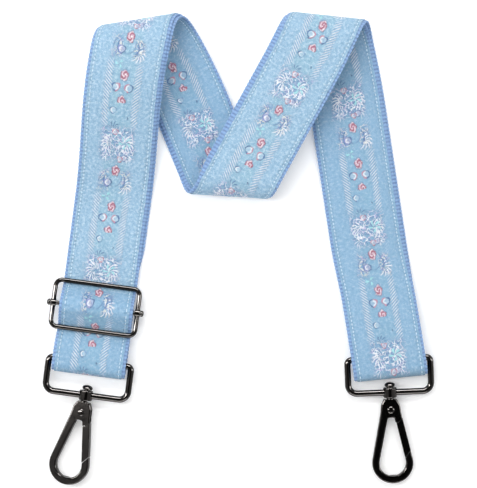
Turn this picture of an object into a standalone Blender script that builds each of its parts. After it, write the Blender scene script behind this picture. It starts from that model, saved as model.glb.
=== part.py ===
"""Detachable bag strap: a double webbing strap faced with ribbon on both sides, laid in an M.

The strap carries a sliding adjuster and, at each end, a rectangular ring with a swivel hook.
Lengths are in metres. +Z points up from the table and +Y points to the top of the M. The strap
is described twice over: flat, by the distance along it and across it, and folded, by fold_strap,
which lays that flat band into the M by turning it round three slanting folds and one square fold.
"""

import math

import bmesh
import bpy
import numpy as np
from mathutils import Matrix, Vector

# Strap: two webbings back to back, with a narrower ribbon sewn on each outer face
STRAP_WIDTH = 0.050
WEBBING_THICKNESS = 0.0014
RIBBON_WIDTH = 0.046
RIBBON_THICKNESS = 0.00045
LAYER_GAP = 0.0003
TAIL_THICKNESS = 0.0016
STRAP_THICKNESS = 2 * WEBBING_THICKNESS + 2 * RIBBON_THICKNESS + 3 * LAYER_GAP

# The M: leg lengths between the folds, from the slider's end to the right ring
LEG_1_LENGTH = 0.157
LEG_2_LENGTH = 0.1426
LEG_3_LENGTH = 0.1469
LEG_4_LENGTH = 0.255
RIGHT_TAIL_LENGTH = 0.026
START_X = -0.0905
START_Y = 0.003
LEG_1_HEADING = 7.5

# Folds: the radius of the strap's middle, the run over which it comes down, and the slant
TOP_LEFT_RADIUS = 0.0145
TOP_LEFT_RUN = 0.115
TOP_LEFT_SLANT = -21.75
BOTTOM_RADIUS = 0.009
BOTTOM_RUN = 0.100
BOTTOM_SLANT = -25.5
TOP_RIGHT_RADIUS = 0.0115
TOP_RIGHT_RUN = 0.105
TOP_RIGHT_SLANT = -18.7
RING_FOLD_RADIUS = 0.0051
RING_FOLD_RUN = 0.085
RIGHT_RING_FOLD_SLANT = -2.8

# Sideways bends: where each starts from its leg's end, its length, and how far it turns
FIRST_BEND_LENGTH = 0.030
LONG_BEND_START = 0.012
LONG_BEND_LENGTH = 0.070
LOOP_BEND_LENGTH = 0.080
LOOP_BEND_LEAD = 0.090
LOOP_BEND_LAG = 0.010
TOP_BEND_LENGTH = 0.050
TOP_BEND_LEAD = 0.060
LAST_BEND_LENGTH = 0.060
LAST_BEND_LAG = 0.020
SEWN_BEND_LENGTH = 0.012
FIRST_BEND = 1.0
LONG_BEND = -3.0
BEFORE_LOOP_BEND = 6.9
AFTER_LOOP_BEND = -9.1
BEFORE_TOP_BEND = -4.3
LAST_BEND = -4.0

# The back webbing sits a little to one side of the front one
BACK_SHIFT = 0.0018

# Slider: a wire frame with a bar across its middle
SLIDER_WIDTH = 0.061
SLIDER_HEIGHT = 0.0352
SLIDER_WIRE = 0.0016
SLIDER_CORNER = 0.0045
SLIDER_BAR_RADIUS = 0.0015
SLIDER_BAR_LENGTH = 0.0666
SLIDER_EYE_RADIUS = 0.0027
SLIDER_EYE_LENGTH = 0.0038
BORE_CLEARANCE = 0.0002
KNOB_RADIUS = 0.00225
KNOB_LENGTH = 0.0022
SLIDER_AT = 0.047
CREST_BEFORE = 0.004
CREST_RADIUS = 0.020
FOLD_STUB = 0.001
TAIL_FOOT = 0.014
TAIL_END = 0.0080

# Rings
RING_WIDTH = 0.061
RING_HEIGHT = 0.0231
RING_WIRE = 0.0022
RING_LOW_CORNER = 0.006
RING_TOP_CORNER = 0.0028
BOSS_RADIUS = 0.0046
BOSS_LENGTH = 0.0070
LEFT_FOLD_AT = 0.0859
LEFT_RING_AT = 0.0840
RIGHT_RING_SLACK = 0.0062
RIGHT_RING_SKEW = 6.4
LEFT_RING_TILT = 1.4
RIGHT_RING_TILT = 3.0
LEFT_HOOK_ROLL = 12.0
LEFT_HOOK_LEAN = 6.0
SLIDER_ASIDE = -0.0010
LEFT_RING_ASIDE = 0.0003
RIGHT_RING_ASIDE = -0.0009
STUD_PLAY = 0.0005
STUD_GAP = 0.0006

# Hooks: measured from the middle of the ring's lower bar
HOOK_THICKNESS = 0.0050
HOOK_EDGE = 0.0009
HOOK_EYE_AT = 0.0485
HOOK_OUTER_RADIUS = 0.0140
HOOK_LIMB = 0.0049
HEAD_TOP = 0.0055
HEAD_SHOULDER = 0.0100
HEAD_FOOT = 0.0140
HEAD_TOP_HALF = 0.0041
HEAD_HALF = 0.0070
HEAD_SHOULDER_HALF = 0.0065
WINDOW_TOP = 0.0173
NECK_RADIUS = 0.0038
NECK_END = 0.0075
STUD_RADIUS = 0.0019
STUD_END = 0.0070
STUD_HEAD_RADIUS = 0.0036
STUD_HEAD_HEIGHT = 0.0030
PIVOT_AT = 0.0119
SEAM_RADIUS = 0.0093
GATE_OUTER_END = 0.0405
GATE_INNER_END = 0.0456
GATE_DISC_RADIUS = 0.0034
GATE_TANG = 0.0018
GATE_NECK = 0.0030
SLOT_HEIGHT = 0.0024
SLOT_DISC_RADIUS = 0.0039
SLOT_SIDE = 0.0050
SLOT_STEP = 0.0030
RIVET_RADIUS = 0.00125
RIVET_HEAD_RADIUS = 0.0023
RIVET_HEAD_HEIGHT = 0.0005
SPRING_WIRE = 0.0003
SPRING_TURN = 96.0

# Spacing of the strap's sections
COARSE_STEP = 0.014
FINE_STEP = 0.004
RING_STEP = 0.0021
GAP = 0.0003
OVERRUN = 0.002
CENTRE_X = 0.0
CENTRE_Y = -0.0036

BLUE_WEBBING = (0.20, 0.36, 0.70, 1.0)
SKY_RIBBON = (0.36, 0.60, 0.79, 1.0)
GUNMETAL = (0.045, 0.042, 0.040, 1.0)
SPRING_STEEL = (0.35, 0.35, 0.35, 1.0)


def clear_scene():
    for item in list(bpy.data.objects):
        bpy.data.objects.remove(item, do_unlink=True)


def new_collection(name):
    collection = bpy.data.collections.new(name)
    bpy.context.scene.collection.children.link(collection)
    return collection


def new_material(name, colour, roughness, metallic):
    material = bpy.data.materials.new(name)
    material.use_nodes = True
    shader = material.node_tree.nodes["Principled BSDF"]
    shader.inputs["Base Color"].default_value = colour
    shader.inputs["Roughness"].default_value = roughness
    shader.inputs["Metallic"].default_value = metallic
    material.diffuse_color = colour
    return material


def add_object(name, mesh, colour, roughness, metallic, parent=None):
    item = bpy.data.objects.new(name, mesh)
    PARTS.objects.link(item)
    mesh.materials.clear()
    mesh.materials.append(new_material(name + "_finish", colour, roughness, metallic))
    item.parent = parent
    return item


def add_metal(name, mesh, parent):
    return add_object(name, mesh, GUNMETAL, 0.28, 1.0, parent)


def cutter(mesh, parent=None):
    item = bpy.data.objects.new("cutter", mesh)
    CUTTERS.objects.link(item)
    item.hide_render = True
    item.display_type = "WIRE"
    item.parent = parent
    return item


def combine(item, other, operation):
    """Join another shape to an object, or cut it away."""
    step = item.modifiers.new(operation.lower(), "BOOLEAN")
    step.operation = operation
    step.solver = "EXACT"
    step.object = other


def empty(name, matrix, parent=None):
    item = bpy.data.objects.new(name, None)
    PARTS.objects.link(item)
    item.parent = parent
    item.matrix_basis = matrix
    return item


def ease(share):
    """A smooth step from 0 to 1."""
    share = np.clip(share, 0.0, 1.0)
    return 0.5 - 0.5 * np.cos(math.pi * share)


# The strap's flat layout: a centre line that bends a little sideways
FOLD_1_AT = LEG_1_LENGTH
FOLD_2_AT = FOLD_1_AT + LEG_2_LENGTH
FOLD_3_AT = FOLD_2_AT + LEG_3_LENGTH
RIGHT_FOLD_AT = FOLD_3_AT + LEG_4_LENGTH
STRAP_END = RIGHT_FOLD_AT + math.pi / 2 * RING_FOLD_RADIUS + RIGHT_TAIL_LENGTH
BENDS = (
    (0.0, FIRST_BEND_LENGTH, FIRST_BEND),
    (LONG_BEND_START, LONG_BEND_LENGTH, LONG_BEND),
    (FOLD_1_AT - LOOP_BEND_LEAD, LOOP_BEND_LENGTH, BEFORE_LOOP_BEND),
    (FOLD_1_AT + LOOP_BEND_LAG, LOOP_BEND_LENGTH, AFTER_LOOP_BEND),
    (FOLD_3_AT - TOP_BEND_LEAD, TOP_BEND_LENGTH, BEFORE_TOP_BEND),
    (FOLD_3_AT + LAST_BEND_LAG, LAST_BEND_LENGTH, LAST_BEND),
    # The sewn end is turned so that it lies square on the strap again
    (RIGHT_FOLD_AT, SEWN_BEND_LENGTH, 2 * RIGHT_RING_FOLD_SLANT),
)
# Each fold: its place, slant, radius and run, and whether the strap goes up and over at it
FOLDS = (
    (FOLD_1_AT, TOP_LEFT_SLANT, TOP_LEFT_RADIUS, TOP_LEFT_RUN, False),
    (FOLD_2_AT, BOTTOM_SLANT, BOTTOM_RADIUS, BOTTOM_RUN, True),
    (FOLD_3_AT, TOP_RIGHT_SLANT, TOP_RIGHT_RADIUS, TOP_RIGHT_RUN, False),
    (RIGHT_FOLD_AT, RIGHT_RING_FOLD_SLANT, RING_FOLD_RADIUS, RING_FOLD_RUN, False),
)
LINE_SECTIONS = 900
LINE = np.linspace(0.0, STRAP_END, LINE_SECTIONS)


def heading_along(along):
    """The flat centre line's direction, in radians to the right of up."""
    turned = LEG_1_HEADING + sum(turn * ease((along - start) / length) for start, length, turn in BENDS)
    return np.radians(turned + 0.0 * along)


HEADINGS = heading_along(LINE)
STEP = LINE[1] - LINE[0]
MEANS = (HEADINGS[1:] + HEADINGS[:-1]) / 2
LINE_X = np.concatenate([[0.0], np.cumsum(np.sin(MEANS) * STEP)])
LINE_Y = np.concatenate([[0.0], np.cumsum(np.cos(MEANS) * STEP)])


def middle_of_strap(along, across):
    """Where a point of the flat strap lies once the strap is folded, on the middle of its thickness."""
    along, across = np.broadcast_arrays(np.asarray(along, float), np.asarray(across, float))
    heading = np.interp(along, LINE, HEADINGS)
    flat_x = np.interp(along, LINE, LINE_X) + across * np.cos(heading)
    flat_y = np.interp(along, LINE, LINE_Y) - across * np.sin(heading)
    x, y, height = flat_x.copy(), flat_y.copy(), np.zeros_like(flat_x)
    for place, slant, radius, run, upward in reversed(FOLDS):
        fold_x = np.interp(place, LINE, LINE_X)
        fold_y = np.interp(place, LINE, LINE_Y)
        square = float(np.interp(place, LINE, HEADINGS)) + math.radians(slant)
        normal_x, normal_y = math.sin(square), math.cos(square)
        beyond = (flat_x - fold_x) * normal_x + (flat_y - fold_y) * normal_y
        now = (x - fold_x) * normal_x + (y - fold_y) * normal_y
        reach = math.pi * radius / 2
        turn = np.clip((beyond + reach) / radius, 0.0, math.pi)
        turning = np.abs(beyond) <= reach
        folded = np.where(turning, radius * np.sin(turn) - reach, np.where(beyond > reach, -now, now))
        x = x + (folded - now) * normal_x
        y = y + (folded - now) * normal_y
        raised = 2 * radius * (1 - ease((np.abs(beyond) - reach) / run))
        side = 1.0 if upward else -1.0
        on_top = np.where(side * beyond > reach, raised, 0.0)
        height += np.where(turning, radius - side * radius * np.cos(turn), on_top)
    place = (START_X - CENTRE_X + x, START_Y - CENTRE_Y + y, height + STRAP_THICKNESS / 2)
    return np.stack(place, axis=-1)


def fold_strap(along, across, lift):
    """A point of the folded strap, lifted off its middle towards its front face."""
    near = STEP / 10
    ahead = middle_of_strap(along + near, across) - middle_of_strap(along - near, across)
    aside = middle_of_strap(along, across + near) - middle_of_strap(along, across - near)
    normal = np.cross(aside, ahead)
    normal /= np.linalg.norm(normal, axis=-1, keepdims=True)
    return middle_of_strap(along, across) + normal * lift


def strap_sections():
    """Distances along the strap, close together at the folds and wide apart on the legs."""
    fine = []
    for place, slant, radius, _, _ in FOLDS:
        spread = STRAP_WIDTH / 2 * abs(math.sin(math.radians(slant)))
        half = math.pi * radius / 2 + spread
        step = RING_STEP if radius == RING_FOLD_RADIUS else FINE_STEP
        fine.append((place - half, min(place + half, STRAP_END), step))
    sections = []
    at = GAP
    for first, last, step in fine:
        sections += list(np.linspace(at, first, max(round((first - at) / COARSE_STEP), 1), endpoint=False))
        sections += list(np.linspace(first, last, round((last - first) / step), endpoint=False))
        at = last
    return np.array(sections + list(np.linspace(at, STRAP_END, 3)))


SECTIONS = strap_sections()


def back_shift(along):
    """How far the back webbing has wandered to the strap's right."""
    swing = ease((along - FOLD_2_AT + TOP_BEND_LENGTH / 2) / TOP_BEND_LENGTH)
    square = ease((along - RIGHT_FOLD_AT + 2 * TOP_BEND_LENGTH) / TOP_BEND_LENGTH)
    return BACK_SHIFT * (1 - 2 * swing) * (1 - square)


def sheet_mesh(name, rows, columns, place):
    """A grid whose corners are put where place(row, column) says."""
    mesh = bpy.data.meshes.new(name)
    grid = bmesh.new()
    bmesh.ops.create_grid(grid, x_segments=columns - 1, y_segments=rows - 1, size=1.0)
    for corner in grid.verts:
        column = round((corner.co.x + 1) / 2 * (columns - 1))
        row = round((corner.co.y + 1) / 2 * (rows - 1))
        corner.co = place(row, column)
    grid.to_mesh(mesh)
    grid.free()
    return mesh


def thicken(item, thickness):
    step = item.modifiers.new("thickness", "SOLIDIFY")
    step.thickness = thickness
    step.offset = 0.0


def strap_layer(name, width, thickness, lift, shifted, colour):
    """One layer of the strap, all the way from the slider to the right ring's sewn fold."""
    shares = (-1.0, -0.5, 0.0, 0.5, 1.0)
    half = width / 2

    def place(row, column):
        along = SECTIONS[row]
        edge = abs(shares[column]) == 1.0
        across = shares[column] * half
        if edge and shifted:
            across += float(back_shift(along))
        return Vector(fold_strap(along, across, lift))

    mesh = sheet_mesh(name, len(SECTIONS), len(shares), place)
    item = add_object(name, mesh, colour, 0.75, 0.0)
    thicken(item, thickness)
    mesh.shade_smooth()
    return item


def belt(pulleys, arc_points):
    """A path in a side view: straight between round stops, each (place, height, signed radius).

    A stop with a positive radius is passed with its centre to the left, and a stop with none is
    an end of the path.
    """
    lines = []
    for first, second in zip(pulleys, pulleys[1:]):
        step_x, step_z = second[0] - first[0], second[1] - first[1]
        lean = math.asin((second[2] - first[2]) / math.hypot(step_x, step_z))
        lines.append(math.atan2(step_z, step_x) - lean)
    path = [pulleys[0][:2]]
    for (x, z, radius), before, after in zip(pulleys[1:-1], lines, lines[1:]):
        way = math.copysign(1.0, radius)
        swing = way * ((way * (after - before)) % math.tau)
        for step in range(arc_points + 1):
            angle = before + swing * step / arc_points
            path.append((x + radius * math.sin(angle), z - radius * math.cos(angle)))
    path.append(pulleys[-1][:2])
    return path


def side_strip(name, path, thickness, parent):
    """A strip as wide as the strap that follows a side-view path from its parent's origin down."""
    half = STRAP_WIDTH / 2

    def place(row, column):
        return Vector((half * (2 * column - 1), -path[row][0], path[row][1]))

    mesh = sheet_mesh(name, len(path), 2, place)
    item = add_object(name, mesh, SKY_RIBBON, 0.75, 0.0, parent)
    thicken(item, thickness)
    mesh.shade_smooth()
    return item


def arc(x, y, radius, start, end, points):
    """Points on an arc, with angles in degrees."""
    angles = [math.radians(start + (end - start) * i / points) for i in range(points + 1)]
    return [(x + radius * math.cos(a), y + radius * math.sin(a)) for a in angles]


def wire_mesh(name, points, radius, closed):
    """A round wire along points, as a mesh."""
    curve = bpy.data.curves.new(name, "CURVE")
    curve.dimensions = "3D"
    curve.bevel_depth = radius
    curve.bevel_resolution = 2
    curve.use_fill_caps = True
    spline = curve.splines.new("POLY")
    spline.points.add(len(points) - 1)
    for point, place in zip(spline.points, points):
        point.co = (*place, 1.0)
    spline.use_cyclic_u = closed
    return curve_to_mesh(name, curve)


def curve_to_mesh(name, curve):
    """The mesh of a curve, with the seams of its caps closed."""
    helper = bpy.data.objects.new(name, curve)
    CUTTERS.objects.link(helper)
    graph = bpy.context.evaluated_depsgraph_get()
    mesh = bpy.data.meshes.new_from_object(helper.evaluated_get(graph))
    bpy.data.objects.remove(helper, do_unlink=True)
    solid = bmesh.new()
    solid.from_mesh(mesh)
    bmesh.ops.remove_doubles(solid, verts=solid.verts, dist=BORE_CLEARANCE / 100)
    bmesh.ops.recalc_face_normals(solid, faces=solid.faces)
    solid.to_mesh(mesh)
    solid.free()
    return mesh


def plate_mesh(name, outlines, thickness):
    """A flat plate with the given outlines, the first one outer and the others holes."""
    curve = bpy.data.curves.new(name, "CURVE")
    curve.dimensions = "2D"
    curve.fill_mode = "BOTH"
    curve.extrude = thickness / 2
    for outline in outlines:
        spline = curve.splines.new("POLY")
        spline.points.add(len(outline) - 1)
        for point, place in zip(spline.points, outline):
            point.co = (*place, 0.0, 1.0)
        spline.use_cyclic_u = True
    return curve_to_mesh(name, curve)


def rod_mesh(name, radius, start, end, axis, sides=24):
    """A cylinder between two places on one of the part's own axes."""
    mesh = bpy.data.meshes.new(name)
    solid = bmesh.new()
    bmesh.ops.create_cone(
        solid, cap_ends=True, segments=sides, radius1=radius, radius2=radius, depth=end - start
    )
    bmesh.ops.translate(solid, verts=solid.verts, vec=(0.0, 0.0, (start + end) / 2))
    turn = {"X": Matrix.Rotation(math.pi / 2, 4, "Y"), "Y": Matrix.Rotation(-math.pi / 2, 4, "X")}
    bmesh.ops.transform(solid, verts=solid.verts, matrix=turn.get(axis, Matrix.Identity(4)))
    solid.to_mesh(mesh)
    solid.free()
    return mesh


def turned_mesh(name, profile, axis, sides=24):
    """A turned piece from its outer side, as (radius, place on the axis), top to bottom."""
    mesh = bpy.data.meshes.new(name)
    solid = bmesh.new()
    corners = [solid.verts.new((radius, 0.0, place)) for radius, place in profile]
    for first, second in zip(corners, corners[1:]):
        solid.edges.new((first, second))
    bmesh.ops.spin(
        solid,
        geom=solid.verts[:] + solid.edges[:],
        cent=(0.0, 0.0, 0.0),
        axis=(0.0, 0.0, 1.0),
        angle=math.tau,
        steps=sides,
        use_merge=True,
    )
    bmesh.ops.remove_doubles(solid, verts=solid.verts, dist=BORE_CLEARANCE / 100)
    turn = {"X": Matrix.Rotation(math.pi / 2, 4, "Y"), "Y": Matrix.Rotation(-math.pi / 2, 4, "X")}
    bmesh.ops.transform(solid, verts=solid.verts, matrix=turn.get(axis, Matrix.Identity(4)))
    bmesh.ops.recalc_face_normals(solid, faces=solid.faces)
    solid.to_mesh(mesh)
    solid.free()
    return mesh


# The adjuster's side view: places run down from the strap's start, heights are above the table
HALF = STRAP_THICKNESS / 2
UNDER_WIRE = SLIDER_WIRE + GAP + HALF
TOP_BAR_AT = SLIDER_AT - SLIDER_HEIGHT / 2 + SLIDER_WIRE
LOW_BAR_AT = SLIDER_AT + SLIDER_HEIGHT / 2 - SLIDER_WIRE
TOP_BAR_HEIGHT = HALF + UNDER_WIRE
LOW_BAR_HEIGHT = TAIL_THICKNESS + GAP + HALF + UNDER_WIRE
BAR_HEIGHT = (TOP_BAR_HEIGHT + LOW_BAR_HEIGHT) / 2
TAIL_ROUND_BAR = SLIDER_BAR_RADIUS + GAP + TAIL_THICKNESS / 2
STRAP_OVER_BAR = SLIDER_BAR_RADIUS + GAP + TAIL_THICKNESS + GAP + HALF
FOLD_HEIGHT = HALF + RING_FOLD_RADIUS
RING_BAR_HEIGHT = STRAP_THICKNESS + GAP + RING_WIRE


def add_adjuster(zone):
    """The strap where it threads the slider, rounds the left ring and ends round the slider's bar."""
    front = belt(
        [
            (0.0, HALF, 0.0),
            (TOP_BAR_AT, TOP_BAR_HEIGHT, UNDER_WIRE),
            (SLIDER_AT, BAR_HEIGHT, -STRAP_OVER_BAR),
            (LOW_BAR_AT, LOW_BAR_HEIGHT, UNDER_WIRE),
            (LEFT_FOLD_AT - CREST_BEFORE, HALF + 2 * RING_FOLD_RADIUS - CREST_RADIUS, -CREST_RADIUS),
            (LEFT_FOLD_AT - FOLD_STUB - GAP, HALF + 2 * RING_FOLD_RADIUS, 0.0),
        ],
        6,
    )
    side_strip("strap_at_slider", front, STRAP_THICKNESS, zone)
    around = arc(LEFT_FOLD_AT, FOLD_HEIGHT, RING_FOLD_RADIUS, 90.0, -90.0, 10)
    stubs = [(LEFT_FOLD_AT - FOLD_STUB, height) for _, height in (around[0], around[-1])]
    around = stubs[:1] + around + stubs[1:]
    side_strip("strap_round_left_ring", around, STRAP_THICKNESS, zone)
    foot = LOW_BAR_AT - GAP
    rise = (BAR_HEIGHT - TAIL_ROUND_BAR - TAIL_THICKNESS / 2) / (foot - SLIDER_AT)
    run_height = TAIL_THICKNESS / 2 + rise * (foot - SLIDER_AT - TAIL_END)
    end_height = run_height + TAIL_THICKNESS + 2 * GAP
    tail = belt(
        [
            (LEFT_FOLD_AT - FOLD_STUB - GAP, TAIL_THICKNESS / 2, 0.0),
            (foot, TAIL_FOOT + TAIL_THICKNESS / 2, -TAIL_FOOT),
            (SLIDER_AT, BAR_HEIGHT, -TAIL_ROUND_BAR),
            (SLIDER_AT + TAIL_END, end_height, 0.0),
        ],
        7,
    )
    side_strip("strap_tail", tail, TAIL_THICKNESS, zone)


def add_slider(zone):
    """The wire frame with an eye on each side, and the bar through the eyes."""
    lean = math.atan2(LOW_BAR_HEIGHT - TOP_BAR_HEIGHT, LOW_BAR_AT - TOP_BAR_AT)
    turn = Matrix.Rotation(-lean, 4, "X")
    seat = empty("slider_seat", Matrix.Translation((SLIDER_ASIDE, -SLIDER_AT, BAR_HEIGHT)) @ turn, zone)
    side = SLIDER_WIDTH / 2 - SLIDER_WIRE
    end = SLIDER_HEIGHT / 2 - SLIDER_WIRE
    centre_x, centre_y = side - SLIDER_CORNER, end - SLIDER_CORNER
    outline = []
    for quarter, (sign_x, sign_y) in enumerate(((1, 1), (-1, 1), (-1, -1), (1, -1))):
        corner = (sign_x * centre_x, sign_y * centre_y)
        outline += arc(*corner, SLIDER_CORNER, 90.0 * quarter, 90.0 * quarter + 90.0, 5)
    mesh = wire_mesh("slider_frame", [(x, y, 0.0) for x, y in outline], SLIDER_WIRE, True)
    frame = add_metal("slider_frame", mesh, seat)
    for sign in (-1, 1):
        middle = sign * side
        first, last = middle - SLIDER_EYE_LENGTH / 2, middle + SLIDER_EYE_LENGTH / 2
        combine(frame, cutter(rod_mesh("eye", SLIDER_EYE_RADIUS, first, last, "X"), seat), "UNION")
    bore = rod_mesh(
        "bore", SLIDER_BAR_RADIUS + BORE_CLEARANCE, -SLIDER_WIDTH, SLIDER_WIDTH, "X"
    )
    combine(frame, cutter(bore, seat), "DIFFERENCE")
    tip = SLIDER_BAR_LENGTH / 2
    knob = tip - KNOB_LENGTH
    soft = KNOB_RADIUS / 3
    half = [
        (0.0, tip),
        (KNOB_RADIUS - soft, tip),
        (KNOB_RADIUS, tip - soft),
        (KNOB_RADIUS, knob),
        (SLIDER_BAR_RADIUS, knob),
    ]
    profile = half + [(radius, -place) for radius, place in reversed(half)]
    add_metal("slider_bar", turned_mesh("slider_bar", profile, "X"), seat)


def add_ring(name, seat):
    """A ring with a boss, bored for the swivel, in the middle of its lower bar."""
    side = RING_WIDTH / 2 - RING_WIRE
    low = -RING_HEIGHT
    top_x, low_x = side - RING_TOP_CORNER, side - RING_LOW_CORNER
    outline = arc(top_x, -RING_TOP_CORNER, RING_TOP_CORNER, 0.0, 90.0, 4)
    outline += arc(-top_x, -RING_TOP_CORNER, RING_TOP_CORNER, 90.0, 180.0, 4)
    outline += arc(-low_x, low + RING_LOW_CORNER, RING_LOW_CORNER, 180.0, 270.0, 5)
    outline += arc(low_x, low + RING_LOW_CORNER, RING_LOW_CORNER, 270.0, 360.0, 5)
    mesh = wire_mesh(name, [(x, y, 0.0) for x, y in outline], RING_WIRE, True)
    ring = add_metal(name, mesh, seat)
    first, last = low - BOSS_LENGTH / 2, low + BOSS_LENGTH / 2
    combine(ring, cutter(rod_mesh("boss", BOSS_RADIUS, first, last, "Y"), seat), "UNION")
    bore = rod_mesh(
        "bore", STUD_RADIUS + STUD_PLAY, first - OVERRUN, last + OVERRUN, "Y"
    )
    combine(ring, cutter(bore, seat), "DIFFERENCE")
    return ring


def limb_normal():
    """The angle by which the hook's straight limbs lean, from the head's foot to the round end."""
    reach_x, reach_y = HEAD_HALF, HOOK_EYE_AT - HEAD_FOOT
    distance = math.hypot(reach_x, reach_y)
    return math.acos(HOOK_OUTER_RADIUS / distance) - math.atan2(reach_y, reach_x)


LIMB_LEAN = -limb_normal()
WINDOW_RADIUS = HOOK_OUTER_RADIUS - HOOK_LIMB


def limb_x(radius, y):
    """Where the limb's line that is tangent to a round of this radius stands, at a height y."""
    above = y + HOOK_EYE_AT
    return (radius - above * math.sin(LIMB_LEAN)) / math.cos(LIMB_LEAN)


def teardrop(radius, top_y, top_half):
    """Half round at the foot and two leaning sides, closed by a flat top."""
    lean = math.degrees(LIMB_LEAN)
    points = arc(0.0, -HOOK_EYE_AT, radius, lean, -180.0 - lean, 16)
    return points + [(-top_half, top_y), (top_half, top_y)]


def add_hook(side, seat):
    """A hook body with its neck and slotted head, its gate, rivet, spring and swivel stud."""
    outer = teardrop(HOOK_OUTER_RADIUS, -HEAD_FOOT, HEAD_HALF)
    outer[-2:-1] = [(-HEAD_HALF, -HEAD_FOOT), (-HEAD_SHOULDER_HALF, -HEAD_SHOULDER), (-HEAD_TOP_HALF, -HEAD_TOP)]
    outer[-1:] = [(HEAD_TOP_HALF, -HEAD_TOP), (HEAD_SHOULDER_HALF, -HEAD_SHOULDER), (HEAD_HALF, -HEAD_FOOT)]
    window = teardrop(WINDOW_RADIUS, -WINDOW_TOP, limb_x(WINDOW_RADIUS, -WINDOW_TOP) * 0.8)
    hook = add_metal(
        "hook_" + side, plate_mesh("hook_" + side, [outer, window], HOOK_THICKNESS), seat
    )
    edge = hook.modifiers.new("edge", "BEVEL")
    edge.width = HOOK_EDGE
    edge.segments = 1
    edge.limit_method = "ANGLE"
    edge.angle_limit = math.radians(60.0)
    boss_end = BOSS_LENGTH / 2 + STUD_GAP
    neck = rod_mesh("neck", NECK_RADIUS, -NECK_END, -boss_end, "Y")
    combine(hook, cutter(neck, seat), "UNION")
    bore = rod_mesh("bore", STUD_RADIUS + BORE_CLEARANCE, -STUD_END - GAP, 0.0, "Y")
    combine(hook, cutter(bore, seat), "DIFFERENCE")
    far = HOOK_OUTER_RADIUS + OVERRUN
    deep = GATE_OUTER_END - HEAD_FOOT + OVERRUN
    slot = [
        (-SLOT_SIDE, -PIVOT_AT),
        (-SLOT_SIDE, -WINDOW_TOP + GAP),
        (-SLOT_STEP, -WINDOW_TOP + GAP),
        (-SLOT_STEP, -deep),
        (far, -deep),
        (far, -PIVOT_AT + SLOT_STEP),
        (SLOT_DISC_RADIUS, -PIVOT_AT + SLOT_STEP),
        (0.0, -PIVOT_AT),
    ]
    combine(hook, cutter(plate_mesh("slot", [slot], SLOT_HEIGHT), seat), "DIFFERENCE")
    disc = rod_mesh("disc", SLOT_DISC_RADIUS, -SLOT_HEIGHT / 2, SLOT_HEIGHT / 2, "Z")
    disc_cutter = cutter(disc, seat)
    disc_cutter.location = (0.0, -PIVOT_AT, 0.0)
    combine(hook, disc_cutter, "DIFFERENCE")
    hole = cutter(rod_mesh("hole", RIVET_RADIUS + BORE_CLEARANCE, -far, far, "Z"), seat)
    hole.location = (0.0, -PIVOT_AT, 0.0)
    combine(hook, hole, "DIFFERENCE")

    inner_x = limb_x(WINDOW_RADIUS, -GATE_INNER_END)
    outer_x = limb_x(HOOK_OUTER_RADIUS, -GATE_OUTER_END)
    slope = (GATE_INNER_END - GATE_OUTER_END) / (outer_x - inner_x)
    notch_in = (inner_x - OVERRUN, -GATE_INNER_END - slope * OVERRUN)
    notch_out = (outer_x + OVERRUN, -GATE_OUTER_END + slope * OVERRUN)
    seam = arc(0.0, -PIVOT_AT, SEAM_RADIUS, -80.0, -20.0, 8)
    shift = GAP * math.hypot(1.0, slope)
    gap_outline = [notch_in, notch_out, (far + OVERRUN, -HEAD_FOOT)] + list(reversed(seam))
    gap_plate = plate_mesh("gate_gap", [gap_outline], 2 * HOOK_THICKNESS)
    combine(hook, cutter(gap_plate, seat), "DIFFERENCE")

    pivot = empty("gate_pivot_" + side, Matrix.Translation((0.0, -PIVOT_AT, 0.0)), seat)
    add_gate(side, pivot, slope, shift)
    stem = [
        (0.0, HOOK_THICKNESS / 2 + GAP + RIVET_HEAD_HEIGHT),
        (RIVET_HEAD_RADIUS * 0.7, HOOK_THICKNESS / 2 + GAP + RIVET_HEAD_HEIGHT),
        (RIVET_HEAD_RADIUS, HOOK_THICKNESS / 2 + GAP + RIVET_HEAD_HEIGHT / 2),
        (RIVET_HEAD_RADIUS, HOOK_THICKNESS / 2 + GAP),
        (RIVET_RADIUS, HOOK_THICKNESS / 2 + GAP),
    ]
    profile = stem + [(radius, -place) for radius, place in reversed(stem)]
    add_metal("gate_rivet_" + side, turned_mesh("gate_rivet_" + side, profile, "Z"), pivot)
    around = GATE_DISC_RADIUS + GAP + SPRING_WIRE
    turn = arc(0.0, 0.0, around, 180.0, 180.0 + SPRING_TURN, 10)
    wire = wire_mesh("gate_spring_" + side, [(x, y, 0.0) for x, y in turn], SPRING_WIRE, False)
    add_object("gate_spring_" + side, wire, SPRING_STEEL, 0.3, 1.0, pivot)

    head = boss_end + STUD_HEAD_HEIGHT
    stud = [
        (0.0, head),
        (STUD_HEAD_RADIUS * 0.6, head),
        (STUD_HEAD_RADIUS, head - STUD_HEAD_HEIGHT / 2),
        (STUD_HEAD_RADIUS, boss_end),
        (STUD_RADIUS, boss_end),
        (STUD_RADIUS, -STUD_END),
        (0.0, -STUD_END),
    ]
    add_metal("swivel_stud_" + side, turned_mesh("swivel_stud_" + side, stud, "Y"), seat)


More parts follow.
